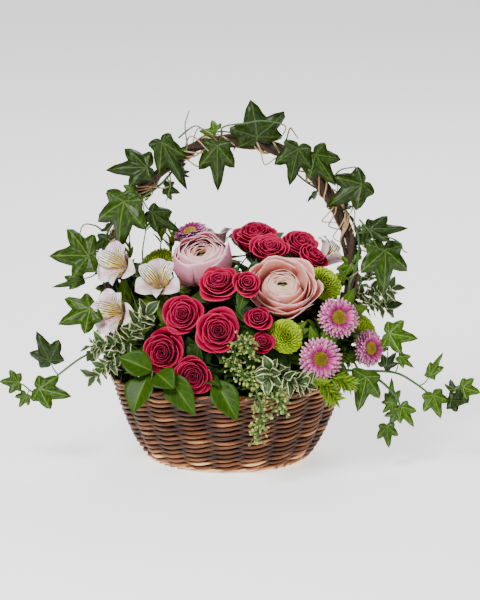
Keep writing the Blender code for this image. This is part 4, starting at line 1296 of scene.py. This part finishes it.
# Each stem's fork, radius, number of leaves, their length, and the numbers of its first and last bloom
STEMS = {
    **numbered(
        "rose_stem",
        ((-25, -56, 110), 2.2, 60, 34, 1, 4),
        ((12, -42, 118), 2.2, 100, 34, 5, 8),
        ((34, 14, 132), 2.2, 80, 34, 9, 12),
        ((32, 52, 112), 2.2, 60, 34, 13, 13),
    ),
    **numbered(
        "ranunculus_stem",
        ((38, -28, 130), 2.4, 50, 30, 1, 1),
        ((-18, -8, 130), 2.4, 60, 32, 2, 2),
        ((-18, 48, 112), 2.4, 30, 32, 3, 3),
    ),
    **numbered("button_mum_stem", ((74, -14, 112), 2.0, 90, 32, 1, 3), ((-46, 26, 112), 2.0, 60, 34, 4, 5)),
    **numbered("aster_stem", ((74, -46, 106), 1.8, 90, 30, 1, 3), ((-22, 20, 130), 1.8, 30, 26, 4, 4)),
    **numbered(
        "alstroemeria_stem", ((-56, -26, 114), 2.2, 90, 38, 1, 3), ((36, 34, 128), 2.0, 40, 34, 4, 5)
    ),
}
rose_leaf = leaf_finish("rose_leaf", (0.008, 0.024, 0.002), (0.024, 0.064, 0.005), (0.06, 0.12, 0.02), 0.48)
fresh_leaf = leaf_finish("fresh_leaf", (0.026, 0.068, 0.003), (0.095, 0.19, 0.008), (0.16, 0.27, 0.03), 0.5)
# The list of a stem's finishes, and where in it each kind of leaf is
STEM_FINISHES = [stem_green, rose_leaf, fresh_leaf]
ROSE_LEAF, FRESH_LEAF = 1, 2

# Each bloom's base, width, and how far the room before its face and the one towards the viewer reach
rooms = []
for name, (_, wide, *_) in BLOOMS.items():
    base, way = seat_of(name)
    rooms.append((base, wide, way, 1.6 * wide))
    if way.y < 0.3:
        rooms.append((base, wide, facing(0, LOOK_DOWN), 3.0 * wide))


def hides_a_bloom(point):
    """Whether a point is inside a bloom, in front of its face, or in front of it in the photograph."""
    for base, wide, look, deep in rooms:
        high = (point - base).dot(look)
        if -0.1 * wide < high < deep and (point - base - look * high).length < wide * 0.46:
            return True
    return False


def in_the_way(root, tip, shares):
    """Whether a leaf hides a bloom with one of its points, given as shares of its length."""
    return any(hides_a_bloom(root.lerp(tip, share)) for share in shares)


def any_way(rng):
    return Vector([rng.uniform(-1, 1) for _ in range(3)])


def cut_end(top):
    """Where a stem that runs up to a point is cut, deep in the foam."""
    return FOCUS + (top - FOCUS).normalized() * STEM_END


def branch(fork, name):
    """A branch from its fork to a bloom, which it meets from behind."""
    base, way = seat_of(name)
    neck = base - way * NECK_LONG
    return smooth_line([fork, neck.lerp(fork, 0.45) - way * 4, neck, base + way * 0.5], 5)


rng = random.Random(12)
stems = []
for name, (fork, radius, leaves, long, first, last) in STEMS.items():
    kind = name.rsplit("_stem", 1)[0]
    leaf, slender, collar_slender = (ROSE_LEAF, 0.6, 0.5) if kind == "rose" else (FRESH_LEAF, 0.4, 0.36)
    fork = Vector(fork)
    carried = [f"{kind}_{k}" for k in range(first, last + 1)]
    branches = [branch(fork, bloom) for bloom in carried]
    bm = new_shape()
    grown = 0
    for k in range(leaves * TRIES):
        spot, _ = point_along(branches[k % len(branches)], rng.uniform(0.05, 0.85))
        out = (spot - FOCUS).normalized()
        reach = (out * 0.6 + any_way(rng)).normalized()
        size = long * rng.uniform(0.7, 1.2)
        tip = spot + reach * size
        if tip.z < LOWEST_TIP or in_the_way(spot, tip, (0.3, 0.65, 1)):
            continue
        add_leaf(bm, spot, tip, out, size * slender, rng.random(), leaf, wave=0.12)
        grown += 1
        if grown == leaves:
            break
    for bloom in carried:
        base, way = seat_of(bloom)
        level = way.orthogonal().normalized()
        for k in range(COLLAR):
            side = Quaternion(way, math.tau * k / COLLAR + rng.uniform(-0.4, 0.4)) @ level
            root = base - way * rng.uniform(4, 9)
            reach = (side + way * rng.uniform(-0.2, 0.35)).normalized()
            tip = root + reach * (BLOOMS[bloom][1] * 0.5 + rng.uniform(8, 18))
            if tip.z > LOWEST_TIP and not in_the_way(root, tip, (0.6, 0.8, 1)):
                width = (tip - root).length * collar_slender
                add_leaf(bm, root, tip, way, width, rng.random(), leaf, wave=0.12)
    thicken(bm, 0.35)
    rods = [rod([cut_end(fork), fork], radius)]
    for line in branches:
        radii = rod(line, radius * 0.75, radius * 0.55)[1][: -len(NECK_RADII)]
        rods.append((line, radii + [radius * share for share in NECK_RADII]))
    add_rods(bm, rods, 0.5, 0, roundness=2)
    stems.append(finished(name + "_leafy", bm, STEM_FINISHES, [name]))
print(len(stems), "stems have", faces_of(stems), "faces")

# %% [markdown]
# Leaves round the rim
#
# The foam stands a little above the rim. A florist hides it with short sprigs of leaves pushed in all
# round, which lean out over the border. They stand in two rings, one on the foam's top edge and one in
# its side, spread evenly, and each one has its own reach and tilt.

# %% Sprigs round the rim
RINGS = ((74.0, 93.0, 44), (82.0, 85.0, 52))  # half width, height and number of sprigs
SPRIG_LEAVES = 5
BORDER_TOP = 86.0  # no leaf of a rim sprig ends lower than this


def add_rim_sprig(bm, out, sideways, foot, rng):
    """A short sprig that leans outwards from its foot. It returns its stalk."""
    lift = rng.uniform(0.15, 0.75)
    top = foot + (out + UP * lift) * rng.uniform(9, 16)
    for j in range(SPRIG_LEAVES):
        root = foot.lerp(top, 0.3 + 0.7 * j / (SPRIG_LEAVES - 1))
        side = sideways * rng.uniform(-1.0, 1.0)
        reach = (out * rng.uniform(0.3, 1.0) + side + UP * rng.uniform(-0.15, 0.8)).normalized()
        size = rng.uniform(18, 32)
        tip = root + reach * size
        if tip.z < BORDER_TOP or in_the_way(root, tip, (1, 0.6)):
            continue
        face = (out * 0.4 + UP).normalized()
        tint, leaf = rng.random(), rng.choice((ROSE_LEAF, FRESH_LEAF))
        add_leaf(bm, root, tip, face, size * 0.52, tint, leaf, droop=0.25, wave=0.12)
    return [foot - out * 8 - UP * 6, foot, top], [1.0, 0.9, 0.7]


rng = random.Random(13)
bm = new_shape()
stalks = []
for half, level, sprigs in RINGS:
    for k in range(sprigs):
        out, sideways = spoke(math.tau * (k + rng.uniform(-0.3, 0.3)) / sprigs)
        foot = Vector((out.x * half, out.y * half * OVAL, level))
        stalks.append(add_rim_sprig(bm, out, sideways, foot, rng))
thicken(bm, 0.35)
add_rods(bm, stalks)
rim_leaves = finished("rim_leaves", bm, STEM_FINISHES)
print("the rim leaves have", faces_of([rim_leaves]), "faces")

# %% [markdown]
# Ivy
#
# An ivy leaf has five pointed lobes that spread like fingers from the end of its stalk, and a pale vein
# runs down each. So its grid is opened like a fan: the grid's width goes once round the stalk's end, its
# length goes outwards, and the rule says how far the leaf reaches in each direction. The two sides that
# meet behind the stalk are merged. The veins are then straight lines on the UV map.

# %% Ivy leaves
SIDE_LOBE = 52  # degrees from the tip to the next lobe
LOBES = ((0, 1.0), (SIDE_LOBE, 0.80), (106, 0.50))  # each lobe's angle from the tip, and its reach
LOBE_HALF = 31.0
IVY_HOLLOW = 0.40  # how far the leaf reaches between two lobes
IVY_NOTCH = 0.10  # how far it reaches behind the end of its stalk
IVY_GRID = (36, 3)


def ivy_reach(degrees, skew=0.0):
    """How far an ivy leaf reaches at an angle from its tip. Skew makes one side's lobes longer."""
    off = abs(degrees)
    last = LOBES[-1][0]
    least = IVY_HOLLOW
    if off > last:
        least = between(IVY_HOLLOW, IVY_NOTCH, ((off - last) / (180 - last)) ** 1.3)
    reach = least
    for middle, long in LOBES:
        share = max(1 - abs(off - middle) / LOBE_HALF, 0)
        long *= 1 + math.copysign(skew, degrees) * (middle > 0)
        reach = max(reach, least + (long - IVY_HOLLOW) * share**1.05)
    return reach


IVY_STOPS = ((0.3, (0.006, 0.017, 0.0005)), (0.55, (0.022, 0.054, 0.002)), (0.75, (0.054, 0.112, 0.004)))
ivy_leaf = soft_finish("ivy_leaf", 0.4, 0.04, 2, 0.2)
off, along, uv = sheet_place(ivy_leaf)
apart = sums(ivy_leaf, "PINGPONG", times(ivy_leaf, off, 180 / SIDE_LOBE), 0.5)
vein = rescaled(ivy_leaf, times(ivy_leaf, apart, along), 0.004, 0.026, 1.0, 0.0)
vein = times(ivy_leaf, vein, rescaled(ivy_leaf, off, 0.62, 0.70, 1.0, 0.0))
green = ramp(ivy_leaf, speckle(ivy_leaf, uv, 9, (3, 1, 1)), *IVY_STOPS)
green = mixed(ivy_leaf, times(ivy_leaf, vein, 0.5), green, (0.16, 0.24, 0.05))
paint(ivy_leaf, shaded(ivy_leaf, green, 0.5, 2.2), times(ivy_leaf, vein, -1.0), 0.4, 0.5)


def add_ivy_leaf(bm, root, tip, face, wide, tint, rng):
    """An ivy leaf, whose stalk ends at root and whose tip is at tip."""
    long, ahead, side, up = leaf_ways(root, tip, face)
    across = wide / (2 * LOBES[1][1] * math.sin(math.radians(50)) + 0.05)
    skew, fold, droop = rng.uniform(-0.12, 0.12), rng.uniform(-0.05, 0.2), rng.uniform(0.1, 0.34)

    def shape(u, v):
        a = math.pi * u
        reach = v * ivy_reach(math.degrees(a), skew)
        ridge = 0.10 * reach * math.cos(abs(math.degrees(a)) / SIDE_LOBE * math.tau)
        rise = long * (ridge - droop * reach * reach + fold * reach * abs(math.sin(a)))
        forward = (long if abs(u) < 0.5 else min(long, across)) * reach * math.cos(a)
        return root + ahead * forward + side * (across * reach * math.sin(a)) + up * rise

    fan = add_sheet(bm, *IVY_GRID, shape, tint)
    bmesh.ops.remove_doubles(bm, verts=fan, dist=SEAM)


print("an ivy leaf reaches", round(ivy_reach(0), 2), "at its tip and", round(ivy_reach(180), 2), "behind")

# %% [markdown]
# Ivy on the hoop and over the rim
#
# Two shoots wind up the hoop and two hang over the rim. Their lines and their large leaves are the
# packed ones: where the stalk ends, where the tip is, the width, and the way the leaf looks. Smaller
# leaves are added along the shoots, as on a real one, and thin stalks join them all. The right trail's
# large leaves get a lighter tint.

# %% Ivy routes and leaves
IVY_LEAVES = {
    "ivy_on_handle_left": (
        ((-76, -14, 284), (-114, -20, 284), 36, (-25, 20)),
        ((-62, -14, 308), (-38, -20, 262), 30, (-10, 25)),
        ((-10, -16, 305), (-10, -24, 262), 34, (-5, 20)),
        ((28, -10, 312), (22, -16, 348), 54, (8, 25)),
        ((24, 14, 306), (-10, 16, 298), 26, (160, 50)),
        ((-98, -18, 252), (-106, -26, 206), 52, (-30, 20)),
        ((-72, -12, 240), (-44, -18, 222), 25, (-5, 30)),
        ((-88, -14, 262), (-104, -16, 257), 15, (-20, 30)),
        ((-131, -28, 202), (-168, -34, 203), 46, (-35, 20)),
        ((-138, -24, 178), (-166, -30, 172), 15, (-40, 20)),
        ((-130, -34, 152), (-160, -44, 141), 44, (-40, 20)),
    ),
    "ivy_on_handle_right": (
        ((66, -16, 302), (58, -24, 268), 34, (6, 20)),
        ((82, -14, 296), (102, -22, 268), 37, (16, 20)),
        ((126, -14, 268), (92, -22, 247), 38, (10, 20)),
        ((134, -12, 224), (170, -18, 226), 26, (30, 30)),
        ((148, -14, 204), (150, -28, 164), 50, (30, 20)),
    ),
    "ivy_trail_left": (
        ((-168, -44, 104), (-181, -48, 132), 33, (-25, 20)),
        ((-178, -50, 78), (-147, -56, 72), 32, (-10, 25)),
        ((-198, -48, 84), (-215, -52, 86), 22, (-20, 20)),
    ),
    "ivy_trail_right": (
        ((152, -36, 128), (179, -42, 126), 32, (35, 20)),
        ((162, -46, 108), (176, -48, 98), 14, (20, 20)),
        ((191, -40, 88), (203, -44, 112), 15, (20, 20)),
        ((194, -44, 70), (202, -52, 50), 27, (15, 20)),
        ((222, -38, 76), (239, -42, 72), 25, (20, 20)),
        ((155, -36, 58), (156, -34, 84), 16, (10, 20)),
        ((164, -50, 60), (176, -56, 42), 20, (15, 20)),
        ((150, -54, 42), (152, -58, 22), 20, (5, 20)),
        ((130, -58, 92), (124, -72, 62), 37, (20, 20)),
    ),
}
LEFT_TRAIL = (
    (-84, -40, 112), (-112, -44, 112), (-134, -40, 108), (-160, -44, 90), (-180, -48, 74), (-194, -48, 82)
)
RIGHT_TRAIL = (
    (96, -34, 92), (128, -44, 94), (158, -44, 92), (178, -40, 80), (194, -40, 68), (210, -40, 64),
    (222, -38, 76)
)
RIGHT_DROP = ((128, -44, 94), (148, -50, 82), (162, -50, 62), (150, -54, 42))
SHOOT_OUT = 10.0  # how far a shoot winds from the hoop's centre line


def wound(first, last, spin, turns, root):
    """A shoot from its root in the foam that winds round the hoop between two of its points."""
    step = 1 if last > first else -1
    line = [Vector(root)]
    for k in range(first, last, step * 2):
        line.append(round_hoop(k, SHOOT_OUT, spin + 360 * turns * (k - first) / (last - first)))
    return [cut_end(line[0])] + smooth_line(line, 3)


def from_foam(points):
    """A smooth route through some points that starts deep in the foam."""
    return [cut_end(Vector(points[0]))] + smooth_line(points, 6)


# Curls of young shoot that stray from the hoop, each ending in the air
IVY_CURLS = {
    "ivy_on_handle_left": (
        ((-44, -14, 300), (-38, -20, 304), (-40, -22, 325), (-36, -22, 340)),
        ((-46, -14, 312), (-37, -20, 321), (-29, -22, 325), (-19, -20, 318), (-10, -14, 310)),
        ((-118, -14, 222), (-124, -22, 229), (-135, -24, 231), (-139, -26, 222), (-137, -26, 214)),
        (
            (-6, -14, 314), (-4, -26, 325), (17, -28, 329), (33, -28, 331), (53, -24, 326), (52, -20, 317),
            (46, -12, 309),
        ),
        ((-58, -12, 274), (-54, -18, 268), (-56, -20, 258), (-58, -20, 252)),
    ),
    "ivy_on_handle_right": (
        ((54, -12, 306), (58, -20, 322), (61, -22, 320), (66, -20, 312)),
        ((98, -12, 272), (105, -20, 282), (114, -22, 285), (121, -20, 284), (126, -14, 270)),
        ((134, -12, 216), (151, -22, 218), (162, -24, 213), (165, -24, 206), (169, -22, 203)),
        ((124, -8, 232), (134, -18, 222), (140, -22, 210), (146, -16, 203)),
    ),
}

middle = len(hoop) // 2
IVY_LINES = {
    "ivy_on_handle_left": [wound(12, middle + 9, 150, 1.6, (-74, -16, 112))],
    "ivy_on_handle_right": [wound(len(hoop) - 14, middle + 12, 30, -1.2, (76, 10, 116))],
    "ivy_trail_left": [from_foam(LEFT_TRAIL)],
    "ivy_trail_right": [from_foam(RIGHT_TRAIL), smooth_line(RIGHT_DROP)],
}
# The number of small leaves on each shoot
SMALL_LEAVES = {
    "ivy_on_handle_left": 16, "ivy_on_handle_right": 14, "ivy_trail_left": 3, "ivy_trail_right": 5
}
LIGHTER_LEAVES = {"ivy_trail_right": 0.4}  # how much lighter the large leaves of a shoot are
IVY_BROAD = 1.08  # the large leaves' width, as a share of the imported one


def stalk(spots, root):
    """A thin stalk from the nearest point of a shoot to the middle of a leaf."""
    spot = min(spots, key=lambda p: (p - root).length)
    sag = (spot + root) / 2 + UP * (-0.12 * (root - spot).length)
    return rod(smooth_line([spot, sag, root], 3), 0.7, 0.55)


rng = random.Random(14)
ivies = []
for name, lines in IVY_LINES.items():
    bm = new_shape()
    spots = [p for line in lines for p in line[4:]]
    stalks = []
    for root, tip, wide, (turn, lift) in IVY_LEAVES[name]:
        root, tip = Vector(root), Vector(tip)
        tint = rng.uniform(0.1, 0.6) + LIGHTER_LEAVES.get(name, 0)
        add_ivy_leaf(bm, root, tip, facing(turn, lift), wide * IVY_BROAD, tint, rng)
        stalks.append(stalk(spots, root))
    for _ in range(SMALL_LEAVES[name]):
        spot = rng.choice(spots)
        way = Vector((rng.uniform(-1, 1), rng.uniform(-0.5, 0.9), rng.uniform(-0.8, 0.9))).normalized()
        root = spot + way * rng.uniform(4, 8)
        long = rng.uniform(12, 22)
        face = facing(rng.uniform(-40, 40), 30)
        add_ivy_leaf(bm, root, root + way * long, face, long * 1.15, rng.random(), rng)
        stalks.append(stalk(spots, root))
    thicken(bm, 0.4)
    add_rods(bm, [rod(line, 1.5, 0.8) for line in lines], 0.0, 1)
    curls = [rod(smooth_line(points, 5), 0.9, 0.45) for points in IVY_CURLS.get(name, ())]
    add_rods(bm, stalks + curls, 0.1, 1)
    ivies.append(finished(name + "_shoot", bm, [ivy_leaf, stem_green], [name]))
print(len(ivies), "ivy shoots have", faces_of(ivies), "faces")

# %% [markdown]
# Variegated pittosporum
#
# Pittosporum fills the room between the blooms with small, wavy, grey-green leaves with cream edges.
# They stand in a spiral round the twig, a golden angle apart, which is how most twigs grow, so the same
# function serves the other leafy twigs too. The cream edge is ragged, and noise on the UV map makes it so.

# %% Variegated sprigs
VARIEGATED = {
    "variegated_left": (
        ((-72, -42, 118), (-94, -58, 124), (-106, -66, 112), (-124, -72, 96)),
        ((-94, -58, 124), (-84, -70, 146), (-76, -74, 156)),
        ((-94, -58, 124), (-112, -66, 126), (-124, -68, 124)),
        ((-94, -58, 124), (-100, -50, 110), (-110, -42, 98)),
    ),
    "variegated_right": (
        ((84, 26, 120), (110, 28, 140), (134, 20, 154), (156, 12, 160)),
        ((110, 28, 140), (128, 34, 162), (142, 36, 174)),
        ((110, 28, 140), (134, 34, 140), (152, 30, 138)),
    ),
    "variegated_front": (
        ((32, -62, 112), (44, -96, 108), (56, -108, 102), (72, -110, 98)),
        ((44, -96, 108), (40, -108, 112), (38, -116, 106)),
    ),
}
CREAM = (0.60, 0.62, 0.32)
GREY_GREENS = ((0.016, 0.042, 0.010), (0.055, 0.105, 0.032), (0.14, 0.20, 0.09))
variegated_leaf = leaf_finish("variegated_leaf", *GREY_GREENS, 0.5, 5.0, CREAM)


def leafy_twig(bm, line, count, long, wide, rng, finish=0, wave=0.18, start=0.15, lean=0.55, clear=False):
    """Leaves in a spiral up a twig, with one at its tip. With clear, none is in front of a bloom."""
    for k in range(count):
        spot, ahead = point_along(line, start + (0.999 - start) * k / (count - 1))
        side = Quaternion(ahead, GOLDEN * k) @ ahead.orthogonal().normalized()
        reach = (ahead * lean + side * (0.2 if k == count - 1 else 1.0)).normalized()
        size = long * rng.uniform(0.75, 1.15)
        tip = spot + reach * size
        face = (ahead + Vector((0, -0.5, 0.8)) * 0.7).normalized()
        tint = rng.random()
        if not (clear and in_the_way(spot, tip, (1, 0))):
            add_leaf(bm, spot, tip, face, size * wide, tint, finish, wave=wave)


rng = random.Random(15)
sprigs = []
for name, routes in VARIEGATED.items():
    lines = [from_foam(routes[0])] + [smooth_line(route) for route in routes[1:]]
    bm = new_shape()
    for line in lines:
        count, start = (24, 0.35) if line is lines[0] else (17, 0.1)
        leafy_twig(bm, line, count, 16, 0.6, rng, start=start)
    thicken(bm, 0.35)
    add_rods(bm, [rod(line, 1.4, 0.6) for line in lines], 0.4, 1)
    sprigs.append(finished(name + "_sprig", bm, [variegated_leaf, stem_green], [name]))
print(len(sprigs), "variegated sprigs have", faces_of(sprigs), "faces")

# %% [markdown]
# Filling sprigs
#
# Three more greens fill the room between the large blooms. Dark twigs stand behind the white blooms and
# the roses, bright feathery ones with narrow leaflets rise at the left and hang over the rim in front, and
# fresh leaves show at the right.

# %% Dark, feathery and fresh sprigs
DARK_SPRIGS = (
    ((-56, -16, 116), (-84, -14, 150), (-102, -6, 184)),
    ((-56, -16, 116), (-80, -26, 140), (-92, -24, 168)),
    ((-40, -10, 120), (-70, -4, 150), (-84, 0, 178)),
    ((4, -16, 130), (4, -20, 168), (2, -14, 192)),
    ((4, -16, 130), (0, -52, 150), (6, -66, 168)),
    ((-30, -30, 112), (-20, -40, 138), (-16, -40, 160)),
    ((-56, -20, 112), (-92, -24, 138), (-106, -22, 172)),
    ((-56, -40, 104), (-86, -40, 102), (-106, -34, 95)),
    ((-30, -30, 112), (-44, -34, 140), (-50, -30, 168)),
    ((38, -10, 116), (62, -16, 130), (76, -22, 148)),
)
FRESH_SPRIGS = (
    ((70, -30, 104), (98, -24, 104), (122, -16, 98)),
    ((70, -30, 104), (98, -22, 114), (114, -12, 122)),
    ((70, -30, 104), (100, -20, 106), (114, -8, 106)),
)
FEATHERY_SPRIGS = (
    ((-56, -6, 120), (-88, 8, 166), (-104, 12, 204)),
    ((-56, -6, 120), (-90, 20, 170), (-94, 24, 214)),
    ((-50, 4, 120), (-80, 26, 176), (-78, 30, 218)),
    ((-50, 4, 120), (-64, 26, 180), (-62, 28, 220)),
    ((-40, 8, 120), (-54, 24, 180), (-50, 30, 221)),
    ((52, -60, 104), (84, -96, 97), (98, -106, 85)),
    ((52, -60, 104), (96, -82, 98), (112, -82, 91)),
)

FEATHER_GREENS = ((0.08, 0.16, 0.006), (0.24, 0.38, 0.02), (0.26, 0.40, 0.04))
feather_leaf = leaf_finish("feather_leaf", *FEATHER_GREENS, 0.55)
filling_finishes = [stem_green, rose_leaf, feather_leaf, fresh_leaf]
# The routes of each kind, and its leaves: their number, length, width as a share of that, and finish
FILLING = (
    (DARK_SPRIGS, (26, 22, 0.5), 1, {"wave": 0.1, "start": 0.4, "clear": True}),
    (FEATHERY_SPRIGS, (60, 14, 0.24), 2, {"wave": 0.0, "start": 0.42, "lean": 1.0, "clear": True}),
    (FRESH_SPRIGS, (24, 20, 0.42), 3, {"wave": 0.1, "start": 0.45}),
)

rng = random.Random(17)
bm = new_shape()
lines = []
for routes, leaves, finish, habit in FILLING:
    for points in routes:
        lines.append(from_foam(points))
        leafy_twig(bm, lines[-1], *leaves, rng, finish, **habit)
thicken(bm, 0.3)
add_rods(bm, [rod(line, 1.2, 0.5) for line in lines])
filling = finished("filling_sprigs", bm, filling_finishes)
print("the filling sprigs have", faces_of([filling]), "faces")

# %% [markdown]
# Broad leaves
#
# Salal has a few broad, glossy leaves folded on a strong midrib. Each one is placed one by one, because
# five large leaves over the front of the rim are what the eye sees first. They get a finer grid than
# the small leaves, so that the fold stays sharp and the edge round.

# %% Salal
BROADLEAF_STEM = ((-48, -64, 103), (-60, -92, 96), (-78, -97, 97))
BROADLEAF_LEAVES = (
    ((-74, -98, 104), (-88, -116, 72), 30, (-30, 20)),
    ((-70, -98, 108), (-102, -92, 120), 26, (-30, 40)),
    ((-66, -98, 106), (-50, -116, 96), 26, (-10, 40)),
    ((-58, -96, 106), (-30, -114, 70), 26, (-5, 20)),
    ((-12, -100, 100), (9, -120, 66), 26, (0, 30)),
)
GLOSSY_GREENS = ((0.010, 0.030, 0.001), (0.034, 0.084, 0.003), (0.085, 0.155, 0.016))
salal = leaf_finish("salal", *GLOSSY_GREENS, 0.42, 5.0)
bm = new_shape()
line = from_foam(BROADLEAF_STEM)
stalks = []
for root, tip, wide, (turn, lift) in BROADLEAF_LEAVES:
    root, tip = Vector(root), Vector(tip)
    add_leaf(bm, root, tip, facing(turn, lift), wide, 0.6, fold=0.35, droop=0.1, grid=(8, 14))
    stalks.append(stalk(line[4:], root))
thicken(bm, 0.45)
add_rods(bm, [rod(line, 1.5, 1.0)] + stalks, 0.5, 1)
broad = finished("salal_sprig", bm, [salal, stem_green], ["broadleaf"])
print("the salal has", faces_of([broad]), "faces")

# %% [markdown]
# Seeded eucalyptus
#
# This branch is grown for its clusters of little green capsules, each a short cone with a point. There
# are hundreds of them, so each has only fifteen faces. They stand at random round the twigs on stalks
# of their own, closer together towards the ends, and hang over the front of the rim.

# %% Seeded sprig
SEEDED_STEM = ((2, -66, 116), (6, -92, 128), (4, -104, 112))
SEEDED_TWIGS = (
    ((6, -92, 128), (14, -106, 140), (22, -112, 128)),
    ((4, -104, 112), (22, -116, 104), (32, -121, 74), (26, -120, 52)),
    ((22, -116, 104), (42, -114, 96), (50, -116, 78)),
)
# Where the capsules start on each twig, as a share of its length, and how many it has
CAPSULES = ((0.45, 50), (0.05, 90), (0.05, 190), (0.05, 110))
CAPSULE_SIDES = 7
capsule_stops = ((0.3, (0.10, 0.15, 0.018)), (0.7, (0.34, 0.39, 0.09)))
capsule = grained(soft_finish("capsule", 0.5, 0.05, 2, 0.5), 700, capsule_stops, 0.2, shades=(0.5, 1.7))


def add_capsule(bm, spot, way, size, tint):
    """A seed capsule, a cone that is wide at its top, with a point in the middle of that."""
    cone = bmesh.ops.create_cone(
        bm, cap_ends=True, segments=CAPSULE_SIDES,
        radius1=size * 0.30, radius2=size * 0.46, depth=size * 0.8
    )
    faces = {face for vert in cone["verts"] for face in vert.link_faces}
    caps = [face for face in faces if len(face.verts) == CAPSULE_SIDES]
    top = max(caps, key=lambda face: face.calc_center_median().z)
    point = bmesh.ops.poke(bm, faces=[top])
    point["verts"][0].co.z += size * 0.45
    verts = cone["verts"] + point["verts"]
    mark(bm, verts, tint, 0)
    bmesh.ops.transform(bm, verts=verts, matrix=place_of(spot + way * size * 0.4, way))


rng = random.Random(16)
bm = new_shape()
lines = [from_foam(SEEDED_STEM)] + [smooth_line(twig) for twig in SEEDED_TWIGS]
stalks = []
for line, (start, count) in zip(lines, CAPSULES):
    for _ in range(count):
        spot, ahead = point_along(line, rng.uniform(start, 1.0) ** 0.8)
        way = (any_way(rng) + ahead * 0.5).normalized()
        end = spot + way * rng.uniform(3, 11)
        stalks.append(rod([spot, end], 0.4, 0.3))
        add_capsule(bm, end, way, rng.uniform(2.0, 3.1), rng.random())
add_rods(bm, [rod(line, 1.4, 0.7) for line in lines] + stalks, 0.6, 1)
seeded = finished("seeded_sprig", bm, [capsule, stem_green], ["seeded_eucalyptus"])
print("the seeded sprig has", faces_of([seeded]), "faces")
